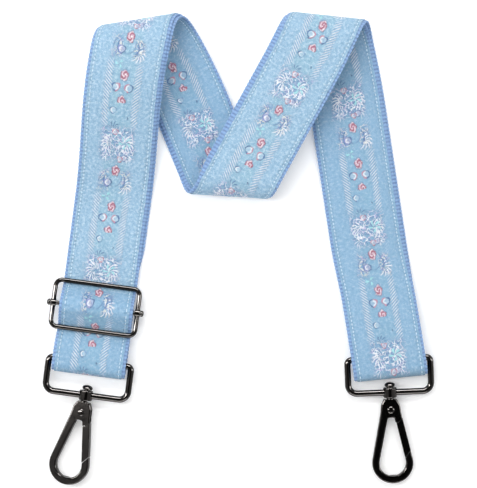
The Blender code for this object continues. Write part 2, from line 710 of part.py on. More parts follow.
def add_gate(side, pivot, slope, shift):
    """The gate: a bar that fills the gap in the hook, with a thin tang round the rivet."""
    inner = WINDOW_RADIUS
    outer = HOOK_OUTER_RADIUS
    radius = SEAM_RADIUS + GAP

    def on_limb(line_radius):
        """The angle about the pivot at which the seam crosses one side of the limb."""
        angle = math.radians(-50.0)
        for _ in range(30):
            y = radius * math.sin(angle) - PIVOT_AT
            angle = -math.acos(min(limb_x(line_radius, y) / radius, 1.0))
        return math.degrees(angle)

    top = arc(0.0, 0.0, radius, on_limb(inner), on_limb(outer), 4)
    low_in_y = -GATE_INNER_END + shift
    low_out_y = -GATE_OUTER_END + shift
    low_out = (limb_x(outer, low_out_y), low_out_y + PIVOT_AT)
    low_in = (limb_x(inner, low_in_y), low_in_y + PIVOT_AT)
    bar = plate_mesh("gate_" + side, [top + [low_out, low_in]], HOOK_THICKNESS)
    gate = add_metal("gate_" + side, bar, pivot)
    edge = gate.modifiers.new("edge", "BEVEL")
    edge.width = HOOK_EDGE
    edge.segments = 1
    edge.limit_method = "ANGLE"
    edge.angle_limit = math.radians(60.0)
    middle = math.radians((on_limb(inner) + on_limb(outer)) / 2)
    ahead = (math.cos(middle), math.sin(middle))
    half = GATE_NECK / 2
    reach = radius + GATE_NECK / 2
    neck = [
        (-ahead[1] * half, ahead[0] * half),
        (ahead[1] * half, -ahead[0] * half),
        (ahead[0] * reach + ahead[1] * half, ahead[1] * reach - ahead[0] * half),
        (ahead[0] * reach - ahead[1] * half, ahead[1] * reach + ahead[0] * half),
    ]
    combine(gate, cutter(plate_mesh("tang", [neck], GATE_TANG), pivot), "UNION")
    disc = rod_mesh("disc", GATE_DISC_RADIUS, -GATE_TANG / 2, GATE_TANG / 2, "Z")
    combine(gate, cutter(disc, pivot), "UNION")
    hole = rod_mesh("hole", RIVET_RADIUS + BORE_CLEARANCE, -HOOK_THICKNESS, HOOK_THICKNESS, "Z")
    combine(gate, cutter(hole, pivot), "DIFFERENCE")


def main():
    webbing_lift = (WEBBING_THICKNESS + LAYER_GAP) / 2
    ribbon_lift = LAYER_GAP / 2 + WEBBING_THICKNESS + LAYER_GAP + RIBBON_THICKNESS / 2
    strap_layer("webbing_front", STRAP_WIDTH, WEBBING_THICKNESS, webbing_lift, False, BLUE_WEBBING)
    strap_layer("webbing_back", STRAP_WIDTH, WEBBING_THICKNESS, -webbing_lift, True, BLUE_WEBBING)
    strap_layer("ribbon_front", RIBBON_WIDTH, RIBBON_THICKNESS, ribbon_lift, False, SKY_RIBBON)
    strap_layer("ribbon_back", RIBBON_WIDTH, RIBBON_THICKNESS, -ribbon_lift, True, SKY_RIBBON)

    start = Vector((START_X - CENTRE_X, START_Y - CENTRE_Y, 0.0))
    heading = Matrix.Rotation(-math.radians(LEG_1_HEADING), 4, "Z")
    zone = empty("adjuster", Matrix.Translation(start) @ heading)
    add_adjuster(zone)
    add_slider(zone)

    left_turn = Matrix.Rotation(math.radians(LEFT_RING_TILT), 4, "X")
    left_place = Matrix.Translation((LEFT_RING_ASIDE, -LEFT_RING_AT, RING_BAR_HEIGHT))
    left_ring = empty("left_ring_seat", left_place @ left_turn, zone)
    add_ring("ring_left", left_ring)
    roll = Matrix.Rotation(math.radians(LEFT_HOOK_ROLL), 4, "Y")
    swivel = Matrix.Translation((0.0, -RING_HEIGHT, 0.0))
    lean = Matrix.Rotation(math.radians(-LEFT_HOOK_LEAN), 4, "Z")
    add_hook("left", empty("left_hook_seat", swivel @ lean @ roll.inverted(), left_ring))

    fold = middle_of_strap(RIGHT_FOLD_AT, 0.0)
    up_leg = middle_of_strap(RIGHT_FOLD_AT - LAST_BEND_LENGTH, 0.0) - fold
    leg_heading = math.atan2(up_leg[0], up_leg[1]) + math.radians(RIGHT_RING_SKEW)
    back = Vector((math.sin(leg_heading), math.cos(leg_heading), 0.0))
    bar = Vector((fold[0], fold[1], 0.0)) + back * (RIGHT_RING_SLACK + RING_FOLD_RADIUS)
    bar += Vector((math.cos(leg_heading), -math.sin(leg_heading), 0.0)) * RIGHT_RING_ASIDE
    print("right ring turned by", math.degrees(leg_heading))
    bar.z = RING_BAR_HEIGHT
    right_place = Matrix.Translation(bar) @ Matrix.Rotation(-leg_heading, 4, "Z")
    right_turn = Matrix.Rotation(math.radians(RIGHT_RING_TILT), 4, "X")
    right_ring = empty("right_ring_seat", right_place @ right_turn)
    add_ring("ring_right", right_ring)
    add_hook("right", empty("right_hook_seat", swivel, right_ring))

    bpy.context.view_layer.update()
    for item in PARTS.objects:
        if item.type == "EMPTY":
            print(item.name, [round(v, 5) for v in item.matrix_world.translation])
            for column, axis in enumerate("xyz"):
                turned = item.matrix_world.col[column]
                print("   ", axis, [round(v, 5) for v in turned[:3]])


clear_scene()
PARTS = new_collection("detachable_bag_strap")
CUTTERS = new_collection("cutters")
main()
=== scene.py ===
# %% [markdown]
# # A flowered bag strap, folded into an M
# This lesson dresses the plain solids of a bag strap, so that they look like the real one. The
# strap is two blue webbings sewn back to back, with a flowered ribbon on each outer face. A dark
# metal slider sits near one end, and each end has a ring with a swivel hook. The imported solids
# give every place, so each new piece is made at its own place, and the solid that it stands for
# is hidden.

# %% Load the solids
import math

import bmesh
import bpy
import numpy as np
from mathutils import Matrix, Vector


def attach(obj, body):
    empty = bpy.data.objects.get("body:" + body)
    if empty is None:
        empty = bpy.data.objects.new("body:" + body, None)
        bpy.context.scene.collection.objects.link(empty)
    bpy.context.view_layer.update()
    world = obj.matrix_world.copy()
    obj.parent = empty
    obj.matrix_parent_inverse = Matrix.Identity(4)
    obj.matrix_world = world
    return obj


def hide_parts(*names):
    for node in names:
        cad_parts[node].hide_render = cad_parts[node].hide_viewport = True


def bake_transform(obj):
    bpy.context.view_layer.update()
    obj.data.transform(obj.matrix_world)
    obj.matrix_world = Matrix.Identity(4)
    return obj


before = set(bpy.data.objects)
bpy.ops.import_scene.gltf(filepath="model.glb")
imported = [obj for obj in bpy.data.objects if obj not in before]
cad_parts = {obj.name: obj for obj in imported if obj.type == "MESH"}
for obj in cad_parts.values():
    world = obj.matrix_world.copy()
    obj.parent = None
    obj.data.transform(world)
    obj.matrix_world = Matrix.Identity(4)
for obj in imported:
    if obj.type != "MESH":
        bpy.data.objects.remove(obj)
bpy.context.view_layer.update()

# %% [markdown]
# ## Selecting, applying and settling
# A Blender operator works on whatever is selected, so the first helpers select one object alone,
# add a new one, apply a modifier, and put an object's place into its mesh. The last of these
# matters because a pattern that reads object coordinates would otherwise move with the object.

# %% Helpers for objects


def pick(item):
    """Select one object and nothing else."""
    if bpy.context.object and bpy.context.object.mode != "OBJECT":
        bpy.ops.object.mode_set(mode="OBJECT")
    bpy.ops.object.select_all(action="DESELECT")
    item.select_set(True)
    bpy.context.view_layer.objects.active = item
    return item


def fresh(add, **settings):
    """Add an object with one of Blender's add operators, while nothing else is selected."""
    bpy.ops.object.select_all(action="DESELECT")
    add(**settings)
    return bpy.context.object


def apply_step(item, kind, **settings):
    """Add a modifier with these settings and apply it."""
    pick(item)
    step = item.modifiers.new("step", kind)
    for name, value in settings.items():
        setattr(step, name, value)
    bpy.ops.object.modifier_apply(modifier=step.name)
    return item


def settle(item, name, seat=None):
    """Name an object, move it from its own seat to the row frame, and apply its place."""
    item.name = name
    item.data.name = name
    if seat is not None:
        item.matrix_world = seat @ item.matrix_world
    pick(item)
    bpy.ops.object.transform_apply(location=True, rotation=True, scale=True)
    return item


def smooth(item, angle=35.0):
    """Shade an object smoothly, apart from edges sharper than the angle."""
    pick(item)
    bpy.ops.object.shade_smooth_by_angle(angle=math.radians(angle))
    return item


def close_up(item, merge=True):
    """Merge corners that lie together and point every face outwards."""
    pick(item)
    bpy.ops.object.mode_set(mode="EDIT")
    bpy.ops.mesh.select_all(action="SELECT")
    if merge:
        bpy.ops.mesh.remove_doubles(threshold=0.000002)
    bpy.ops.mesh.normals_make_consistent(inside=False)
    bpy.ops.object.mode_set(mode="OBJECT")
    return item


# %% [markdown]
# ## The strap's sizes
# These are the sizes that the solids were made with, in metres. A point of the strap is named by
# its distance along the strap, its distance across it from the middle, and its lift off the middle
# of the strap's thickness towards the front face.

# %% Sizes of the strap
WEBBING_THICKNESS = 0.0014
RIBBON_THICKNESS = 0.00045
LAYER_GAP = 0.0003
STRAP_THICKNESS = 2 * WEBBING_THICKNESS + 2 * RIBBON_THICKNESS + 3 * LAYER_GAP
HALF = STRAP_THICKNESS / 2
SEAM_AT = 0.021
BACK_WANDER = 0.0018
WEBBING_LIFT = (WEBBING_THICKNESS + LAYER_GAP) / 2
RIBBON_LIFT = LAYER_GAP / 2 + WEBBING_THICKNESS + LAYER_GAP + RIBBON_THICKNESS / 2
START = (-0.0905, 0.003 + 0.0036)
LEG_1_HEADING = 7.5
FOLD_1_AT = 0.157
FOLD_2_AT = FOLD_1_AT + 0.1426
FOLD_3_AT = FOLD_2_AT + 0.1469
RIGHT_FOLD_AT = FOLD_3_AT + 0.255
RING_FOLD_RADIUS = 0.0051
STRAP_END = RIGHT_FOLD_AT + math.pi / 2 * RING_FOLD_RADIUS + 0.026
BENDS = (
    (0.0, 0.030, 1.0),
    (0.012, 0.070, -3.0),
    (FOLD_1_AT - 0.090, 0.080, 6.9),
    (FOLD_1_AT + 0.010, 0.080, -9.1),
    (FOLD_3_AT - 0.060, 0.050, -4.3),
    (FOLD_3_AT + 0.020, 0.060, -4.0),
    (RIGHT_FOLD_AT, 0.012, -5.6),
)
FOLDS = (
    (FOLD_1_AT, -21.75, 0.0145, 0.115, False),
    (FOLD_2_AT, -25.5, 0.009, 0.100, True),
    (FOLD_3_AT, -18.7, 0.0115, 0.105, False),
    (RIGHT_FOLD_AT, -2.8, RING_FOLD_RADIUS, 0.085, False),
)
print("strap from slider to end:", round(STRAP_END * 1000), "mm")

# %% [markdown]
# ## Folding a flat strip
# The strap is first laid out flat, along a centre line that bends a little sideways. Then each fold
# turns what lies beyond it back over, round a cylinder, and lets the upper leg come down slowly. A
# cloth simulation could fold a strap too, but this way every point has a known place, so that ribs,
# stitches and flowers follow the strap round each fold.

# %% The flat centre line
LINE = np.linspace(0.0, STRAP_END, 900)


def ease(share):
    """A smooth step from 0 to 1."""
    return 0.5 - 0.5 * np.cos(math.pi * np.clip(share, 0.0, 1.0))


HEADINGS = LEG_1_HEADING + 0.0 * LINE
for bend_start, bend_length, bend_turn in BENDS:
    HEADINGS = HEADINGS + bend_turn * ease((LINE - bend_start) / bend_length)
HEADINGS = np.radians(HEADINGS)
MEANS = (HEADINGS[1:] + HEADINGS[:-1]) / 2
LINE_X = np.concatenate([[0.0], np.cumsum(np.sin(MEANS) * (LINE[1] - LINE[0]))])
LINE_Y = np.concatenate([[0.0], np.cumsum(np.cos(MEANS) * (LINE[1] - LINE[0]))])

# %% Fold the strip


def middle_of_strap(along, across):
    """The place of a point on the middle of the folded strap's thickness."""
    heading = np.interp(along, LINE, HEADINGS)
    flat_x = np.interp(along, LINE, LINE_X) + across * np.cos(heading)
    flat_y = np.interp(along, LINE, LINE_Y) - across * np.sin(heading)
    x, y, height = flat_x.copy(), flat_y.copy(), np.zeros_like(flat_x)
    for place, slant, radius, run, upward in reversed(FOLDS):
        fold_x = np.interp(place, LINE, LINE_X)
        fold_y = np.interp(place, LINE, LINE_Y)
        square = float(np.interp(place, LINE, HEADINGS)) + math.radians(slant)
        normal_x, normal_y = math.sin(square), math.cos(square)
        beyond = (flat_x - fold_x) * normal_x + (flat_y - fold_y) * normal_y
        now = (x - fold_x) * normal_x + (y - fold_y) * normal_y
        reach = math.pi * radius / 2
        turn = np.clip((beyond + reach) / radius, 0.0, math.pi)
        turning = np.abs(beyond) <= reach
        past = np.where(beyond > reach, -now, now)
        folded = np.where(turning, radius * np.sin(turn) - reach, past)
        x = x + (folded - now) * normal_x
        y = y + (folded - now) * normal_y
        raised = 2 * radius * (1 - ease((np.abs(beyond) - reach) / run))
        side = 1.0 if upward else -1.0
        on_top = np.where(side * beyond > reach, raised, 0.0)
        height += np.where(turning, radius - side * radius * np.cos(turn), on_top)
    return np.stack((START[0] + x, START[1] + y, height + HALF), axis=-1)


def back_shift(along):
    """How far the back webbing has wandered towards the strap's right edge."""
    swing = ease((along - FOLD_2_AT + 0.025) / 0.05)
    square = ease((along - RIGHT_FOLD_AT + 0.1) / 0.05)
    return BACK_WANDER * (1 - 2 * swing) * (1 - square) * ease(1 + along / 0.022)


# %% [markdown]
# ## Through the slider
# Before its start the strap runs down through the slider, like a belt over pulleys: under the top
# bar, over the middle bar, under the low bar, and round the ring. Its tail goes back underneath
# and round the middle bar. The belt is drawn in a side view, from tangents and arcs.

# %% Sizes of the adjuster
SLIDER_WIRE = 0.0016
SLIDER_WIDTH = 0.061
SLIDER_HEIGHT = 0.0352
SLIDER_AT = 0.047
SLIDER_BAR_RADIUS = 0.0015
TAIL_THICKNESS = 0.0016
GAP = 0.0003
RING_WIRE = 0.0022
STITCH_PITCH = 0.0025
LEFT_FOLD_AT = 0.0859
UNDER_WIRE = SLIDER_WIRE + GAP + HALF
TOP_BAR_AT = SLIDER_AT - SLIDER_HEIGHT / 2 + SLIDER_WIRE
LOW_BAR_AT = SLIDER_AT + SLIDER_HEIGHT / 2 - SLIDER_WIRE
TOP_BAR_HEIGHT = HALF + UNDER_WIRE
LOW_BAR_HEIGHT = TAIL_THICKNESS + GAP + HALF + UNDER_WIRE
BAR_HEIGHT = (TOP_BAR_HEIGHT + LOW_BAR_HEIGHT) / 2
TAIL_ROUND_BAR = SLIDER_BAR_RADIUS + GAP + TAIL_THICKNESS / 2
STRAP_OVER_BAR = SLIDER_BAR_RADIUS + 2 * GAP + TAIL_THICKNESS + HALF
FOLD_TOP = HALF + 2 * RING_FOLD_RADIUS
CREST = 0.020
TAIL_DIP = 0.014
TAIL_SEWN = 0.008
print("slider bars at heights", [round(h * 1000, 2) for h in (TOP_BAR_HEIGHT, LOW_BAR_HEIGHT)])

# %% A belt over pulleys


def belt(stops):
    """A side-view path that is straight between round stops of (place, height, signed radius)."""
    lines = []
    for first, second in zip(stops, stops[1:]):
        step_x, step_z = second[0] - first[0], second[1] - first[1]
        lean = math.asin((second[2] - first[2]) / math.hypot(step_x, step_z))
        lines.append(math.atan2(step_z, step_x) - lean)
    path = [stops[0][:2]]
    for (x, z, radius), before, after in zip(stops[1:-1], lines, lines[1:]):
        way = math.copysign(1.0, radius)
        swing = way * ((way * (after - before)) % math.tau)
        for step in range(25):
            angle = before + swing * step / 24
            path.append((x + radius * math.sin(angle), z - radius * math.cos(angle)))
    path.append(stops[-1][:2])
    return np.array(path)


class SidePath:
    """A side-view path that is measured by its length from its start."""

    def __init__(self, points):
        self.points = points
        steps = np.hypot(*np.diff(points, axis=0).T)
        self.lengths = np.concatenate([[0.0], np.cumsum(steps)])
        self.length = self.lengths[-1]

    def at(self, length):
        return np.stack([np.interp(length, self.lengths, self.points[:, i]) for i in (0, 1)], -1)

    def place(self, length, across, lift):
        """The place in the row frame of a point that far along, across and lifted."""
        near = 0.0004
        ahead = self.at(length + near) - self.at(length - near)
        ahead /= np.linalg.norm(ahead, axis=-1, keepdims=True)
        down, height = self.at(length).T
        down, height = down - ahead[:, 1] * lift, height + ahead[:, 0] * lift
        zone = np.array(ZONE)
        flat = zone[:3, 3] + np.outer(across, zone[:3, 0]) - np.outer(down, zone[:3, 1])
        return flat + np.outer(height, zone[:3, 2])


ZONE = Matrix.Translation((*START, 0.0)) @ Matrix.Rotation(-math.radians(LEG_1_HEADING), 4, "Z")
TURN_STEPS = np.radians(np.linspace(90.0, -90.0, 25))
ROUND_RING = np.stack(
    [
        LEFT_FOLD_AT + RING_FOLD_RADIUS * np.cos(TURN_STEPS),
        HALF + RING_FOLD_RADIUS + RING_FOLD_RADIUS * np.sin(TURN_STEPS),
    ],
    axis=-1,
)
THREADED = belt(
    [
        (0.0, HALF, 0.0),
        (TOP_BAR_AT, TOP_BAR_HEIGHT, UNDER_WIRE),
        (SLIDER_AT, BAR_HEIGHT, -STRAP_OVER_BAR),
        (LOW_BAR_AT, LOW_BAR_HEIGHT, UNDER_WIRE),
        (LEFT_FOLD_AT - 0.004, FOLD_TOP - CREST, -CREST),
        (LEFT_FOLD_AT - 0.001, FOLD_TOP, 0.0),
    ]
)
FOLD_END = [[LEFT_FOLD_AT - 0.0012, HALF]]
THREADED = SidePath(np.concatenate([THREADED, ROUND_RING, FOLD_END]))
OVER_BAR = float(THREADED.lengths[np.argmin(np.abs(THREADED.points[:60, 0] - SLIDER_AT))])
FOOT = LOW_BAR_AT - GAP
print("strap from its start to the tail:", round(THREADED.length * 1000, 1), "mm")

# %% The whole strap, and its tail


def strap_place(along, across, lift):
    """A point of the strap: folded where it is past its start, and threaded before that."""
    near = 0.0001
    ahead = middle_of_strap(along + near, across) - middle_of_strap(along - near, across)
    aside = middle_of_strap(along, across + near) - middle_of_strap(along, across - near)
    normal = np.cross(aside, ahead)
    normal /= np.maximum(np.linalg.norm(normal, axis=-1, keepdims=True), 1e-12)
    folded = middle_of_strap(along, across) + normal * lift[:, None]
    threaded = THREADED.place(np.maximum(-along, 0.0), across, lift)
    return np.where((along < 0.0)[:, None], threaded, folded)


TAIL_RISE = (BAR_HEIGHT - TAIL_ROUND_BAR - TAIL_THICKNESS / 2) / (FOOT - SLIDER_AT)
TAIL_LAP = TAIL_THICKNESS / 2 + TAIL_RISE * (FOOT - SLIDER_AT - TAIL_SEWN)
TAIL = SidePath(
    belt(
        [
            (LEFT_FOLD_AT - 0.0013, TAIL_THICKNESS / 2, 0.0),
            (FOOT, TAIL_DIP + TAIL_THICKNESS / 2, -TAIL_DIP),
            (SLIDER_AT, BAR_HEIGHT, -TAIL_ROUND_BAR),
            (SLIDER_AT + TAIL_SEWN, TAIL_LAP + TAIL_THICKNESS + 2 * GAP, 0.0),
        ]
    )
)
print("tail:", round(TAIL.length * 1000, 1), "mm")

# %% [markdown]
# ## Shader sums as plain Python
# A finish is a net of small nodes. Wiring them by hand is slow to read, so a small class wraps one
# output socket and gives it the usual signs, and each sum adds its own Math node. Another class
# holds the material and adds every other kind of node, from its settings and socket values.

# %% A wrapped socket


class Signal:
    """One value in a material, on which sums can be written."""

    def __init__(self, finish, socket):
        self.finish, self.socket = finish, socket

    def sum(self, operation, *others, clamp=False):
        values = dict(enumerate((self, *others)))
        return self.finish.add("Math", values, operation=operation, use_clamp=clamp)

    def __rsub__(self, other):
        return self.finish.add("Math", {0: other, 1: self}, operation="SUBTRACT")

    def held(self):
        """Kept between 0 and 1."""
        return self.sum("ADD", 0.0, clamp=True)


def sum_method(operation):
    return lambda self, *others: self.sum(operation, *others)


for method, operation in {
    "__add__": "ADD",
    "__radd__": "ADD",
    "__sub__": "SUBTRACT",
    "__mul__": "MULTIPLY",
    "__rmul__": "MULTIPLY",
    "__mod__": "FLOORED_MODULO",
    "__gt__": "GREATER_THAN",
    "__abs__": "ABSOLUTE",
    "sine": "SINE",
    "cosine": "COSINE",
    "root": "SQRT",
    "angle_from": "ARCTAN2",
    "largest": "MAXIMUM",
    "smallest": "MINIMUM",
}.items():
    setattr(Signal, method, sum_method(operation))

# %% A finish


class Finish:
    """A material whose nodes are added by type, settings and socket values."""

    def __init__(self, name, roughness=0.7, metallic=0.0):
        self.material = bpy.data.materials.new(name)
        self.material.use_nodes = True
        self.nodes = self.material.node_tree.nodes
        self.links = self.material.node_tree.links
        self.shader = self.nodes["Principled BSDF"]
        self.feed("Roughness", roughness)
        self.feed("Metallic", metallic)

    def add(self, kind, values=None, output=0, **settings):
        """Add a node and return one of its outputs."""
        node = self.nodes.new("ShaderNode" + kind)
        for name, value in settings.items():
            setattr(node, name, value)
        for key, value in (values or {}).items():
            self.put(node.inputs[key], value)
        return Signal(self, node.outputs[output])

    def put(self, socket, value):
        """Link a signal to a socket, or set the socket to a value or a colour code."""
        if isinstance(value, Signal):
            self.links.new(value.socket, socket)
        else:
            socket.default_value = colour(value) if isinstance(value, str) else value

    def feed(self, name, value):
        self.put(self.shader.inputs[name], value)

    def mix(self, share, first, second):
        """A colour that goes from the first to the second as the share goes from 0 to 1."""
        values = {"Factor": share, 6: first, 7: second}
        return self.add("Mix", values, output=2, data_type="RGBA")

    def noise(self, place, scale, detail=2.0, roughness=0.5):
        values = {"Vector": place, "Scale": scale, "Detail": detail, "Roughness": roughness}
        return self.add("TexNoise", values)

    def cloth(self):
        """Millimetres across and along the strap, read from the piece's own map."""
        across = self.add("SeparateXYZ", {0: self.add("UVMap", uv_map="cloth")})
        along = Signal(self, across.socket.node.outputs[1])
        return across * 1000.0, along * 1000.0

    def point(self, x, y, z=0.0):
        return self.add("CombineXYZ", {0: x, 1: y, 2: z})

    def bump(self, height, distance, strength=1.0):
        values = {"Height": height, "Distance": distance, "Strength": strength}
        self.feed("Normal", self.add("Bump", values))


def colour(code):
    """The linear colour of a web colour code."""
    shares = [int(code[i : i + 2], 16) / 255 for i in (0, 2, 4)]
    linear = [s / 12.92 if s <= 0.04045 else ((s + 0.055) / 1.055) ** 2.4 for s in shares]
    return (*linear, 1.0)


print("sky blue is", [round(share, 3) for share in colour("A3CCE6")])

# %% [markdown]
# ## Webbing finish
# The webbing is cornflower blue, woven in thick ribs that show as a row of beads along its edge.
# A wave texture could draw ribs, but ribs written as a cosine of the distance along the strap turn
# the corner of every fold with the strap. The yarn is soft, so the ribs are blurred by its fibres.

# %% Webbing finish
RIB_PITCH = 2.6


def webbing_finish():
    finish = Finish("ribbed_webbing", roughness=0.78)
    across, along = finish.cloth()
    spot = finish.point(across, along)
    fuzz = finish.noise(spot, 1.1, 3.0, 0.6)
    side = (across > 0.0) * (RIB_PITCH / 2)
    ribs = abs(((along + side + (fuzz - 0.5) * 1.1) * (math.pi / RIB_PITCH)).cosine())
    slant = ((along + abs(across) * 1.2) * (math.tau / 1.3)).sine() * 0.5 + 0.5
    fibres = finish.noise(finish.point(across * 3.0, along * 0.8), 1.0, 3.0)
    mottle = finish.noise(spot, 0.12, 2.0)
    crest = ((ribs - 0.2) * 1.3).held() * 0.75 + fuzz * 0.3
    base = finish.mix(crest, "446DA3", "79A1D0")
    base = finish.mix((fibres - 0.42) * 1.2, base, "A6C2E2")
    base = finish.mix((mottle - 0.35) * 0.5, base, "6E92BE")
    finish.feed("Base Color", base)
    finish.bump(ribs.smallest(0.85) * 0.6 + slant * 0.15 + fibres * 0.3 + fuzz * 0.5, 0.0005, 0.9)
    finish.feed("Sheen Weight", 0.1)
    return finish.material


WEBBING_FINISH = webbing_finish()
print("webbing nodes:", len(WEBBING_FINISH.node_tree.nodes))

# %% [markdown]
# ## Ribbon finish
# The ribbon is a pale blue satin with a band of woven flowers down its middle, which repeats every
# 88 mm. Real flowers of this kind are floats of coloured thread. They are drawn here from sums on
# the distance to each flower's middle: a rose is a spiral of petals, a bud is a ring, a spray is a
# fan of thin strokes. The flowers are a common garden pattern, laid out afresh for this lesson.

# %% Flower shapes
REPEAT = 88.0


class Brocade:
    """The ribbon's flower band, drawn layer by layer over the ground."""

    def __init__(self, finish, way, start, stretch):
        self.finish = finish
        self.across, self.along = finish.cloth()
        spot = finish.point(self.across, self.along)
        self.rough_edge = finish.noise(spot, 0.9, 2.0, 0.7) - 0.5
        slow = finish.noise(finish.point(self.along, self.across), 0.35, 1.0) - 0.5
        first, last = FOLD_1_AT * 1000, FOLD_2_AT * 1000
        turned_over = ((self.along - first) * (1.0 / (last - first))).held()
        place = self.along * way + start + turned_over * stretch
        self.u = self.across + self.rough_edge * 1.1 + slow * 1.2
        self.v = (place + slow * 1.6 + self.rough_edge * 0.7) % REPEAT
        self.colour = None
        self.height = 0.0

    def near(self, spots):
        """Across and along from whichever of the (across, along) spots lies nearest along."""
        spots = sorted(spots, key=lambda spot: spot[1])
        home_u, home_v = spots[0]
        for (u0, v0), (u1, v1) in zip(spots, spots[1:]):
            passed = self.v > (v0 + v1) / 2
            home_u = passed * (u1 - u0) + home_u
            home_v = passed * (v1 - v0) + home_v
        return self.u - home_u, self.v - home_v

    def lay(self, mask, tint, lift=1.0):
        """Lay thread of one colour where the mask is 1."""
        self.colour = self.finish.mix(mask, self.colour, tint)
        self.height = (mask * lift).largest(self.height)

    def polar(self, u, v):
        return (u * u + v * v).root(), v.angle_from(u)

    def roses(self, spots, radius, deep, pale):
        u, v = self.near(spots)
        distance, angle = self.polar(u * 1.25, v * 0.92)
        rim = (angle * 5.0 + 0.7).sine() * 0.3 + self.rough_edge * 1.6 + radius - distance
        inside = (rim * 1.8).held()
        # A darker ring round each rose: partly the dark gap of the weave round the floats, partly
        # painted shade at their raised edge.
        self.lay(((rim + 0.9) * 1.3).held() * 0.55, "6488AC", 0.0)
        self.lay(inside * 0.8, pale)
        spiral = (distance * (math.tau / 2.7) + angle * 2.0 + self.rough_edge * 4.5 + 0.6).sine()
        self.lay(inside * (spiral * 2.0 + 0.3).held() * 0.8, deep, 1.3)
        self.lay(inside * (spiral * 1.6 - 0.9).held() * 0.7, "7C3F55", 1.0)
        glint = ((self.rough_edge + 0.05) * 8.0).held()
        self.lay(inside * glint * (spiral * -2.0).held(), "F8EDF2", 1.3)

    def buds(self, u, v, radius, outside, inside, heart):
        """A ring of thread that is one colour away from the middle and another beside it."""
        distance, angle = self.polar(u, v)
        rim = (angle * 3.0).sine() * 0.25 + self.rough_edge * 0.9 + radius - distance
        self.lay((rim * 1.8).held() * 0.25, heart)
        band = (rim * 2.0).held() * ((distance - radius * 0.62) * 2.2).held()
        tint = self.finish.mix((u * 1.2 + 0.5).held(), inside, outside)
        self.lay(band * 0.95, tint, 1.2)
        crescent = ((distance - radius * 0.3) * 3.0).held()
        crescent = crescent * ((radius * 0.72 - distance) * 3.0).held()
        self.lay(crescent * ((u * -1.0 + 0.3) * 1.5).held() * 0.7, "F3F6FC", 1.2)

    def fans(self, u, v, turn, spread, strokes, start, end, tint, strength):
        """Strokes that spread from a point, like a fern's leaves."""
        distance, angle = self.polar(u, v)
        swing = ((angle - turn + math.pi + distance * 0.12) % math.tau) - math.pi
        sector = ((spread - abs(swing)) * 4.0).held()
        lines = (((swing * strokes).cosine() - 0.25) * 2.4).held()
        length = ((distance - start) * 1.5).held() * ((end - distance) * 0.7).held()
        self.lay(sector * lines * length * strength, tint)

    def curls(self, scale, width, reach, tint, strength, seed):
        """Fine curling strokes inside a region."""
        spot = self.finish.point(self.across, self.along, seed)
        field = self.finish.noise(spot, scale, 1.0)
        line = (1.7 - abs(field - 0.5) * (1.7 / width)).held()
        self.lay(line * reach * strength, tint, 0.8)

    def between(self, middle, half, soft):
        """1 near a distance along the repeat, with soft ends."""
        return ((half + soft - abs(self.v - middle)) * (1.0 / soft)).held()


# %% Ribbon finish
WHITE, AQUA, STEEL, LILAC = "F1F5FC", "A3DDE6", "4D74A6", "DCC3E0"
ROSE_DEEP, ROSE_PALE = "B0667E", "DDB2C2"
ROSES = ((0.4, 1.0), (0.5, 18.0), (0.3, 43.0))
SMALL_BUDS = ((2.4, 51.0), (-1.8, 69.0))
FANS = (  # sides, across, along, turn, spread, strokes, start, end, tint, strength
    ("both", 4.8, 61.0, 0.5, 1.9, 14.0, 1.0, 7.0, WHITE, 0.9),
    ("both", 5.5, 53.0, -0.1, 1.1, 12.0, 0.9, 5.5, WHITE, 0.6),
    ("one", 6.5, 33.0, 0.2, 1.8, 12.0, 1.0, 6.5, WHITE, 0.9),
    ("both", 3.0, 41.5, -0.1, 0.7, 11.0, 2.5, 10.5, STEEL, 0.8),
    ("one", -3.2, 71.5, 1.9, 1.5, 9.0, 0.7, 4.8, STEEL, 0.8),
    ("one", 5.0, 62.0, 1.2, 3.2, 5.0, 0.3, 4.8, AQUA, 1.0),
    ("one", -4.0, 25.0, 1.3, 3.2, 3.0, 0.3, 3.6, AQUA, 0.95),
    ("one", 4.6, 79.5, -0.8, 0.6, 4.0, 0.4, 2.8, "3E5F8C", 0.95),
)
BUDS = (  # sides, across, along, radius, outside, inside, heart
    ("both", 4.4, 10.0, 3.1, STEEL, "C98BA2", "C5D6EA"),
    ("one", -4.2, 34.5, 2.9, STEEL, "8A93CC", LILAC),
    ("one", 5.2, 52.0, 2.4, STEEL, "7C9BCB", LILAC),
    ("one", -4.6, 83.0, 2.5, "7FA6CF", STEEL, "DCEBF4"),
)


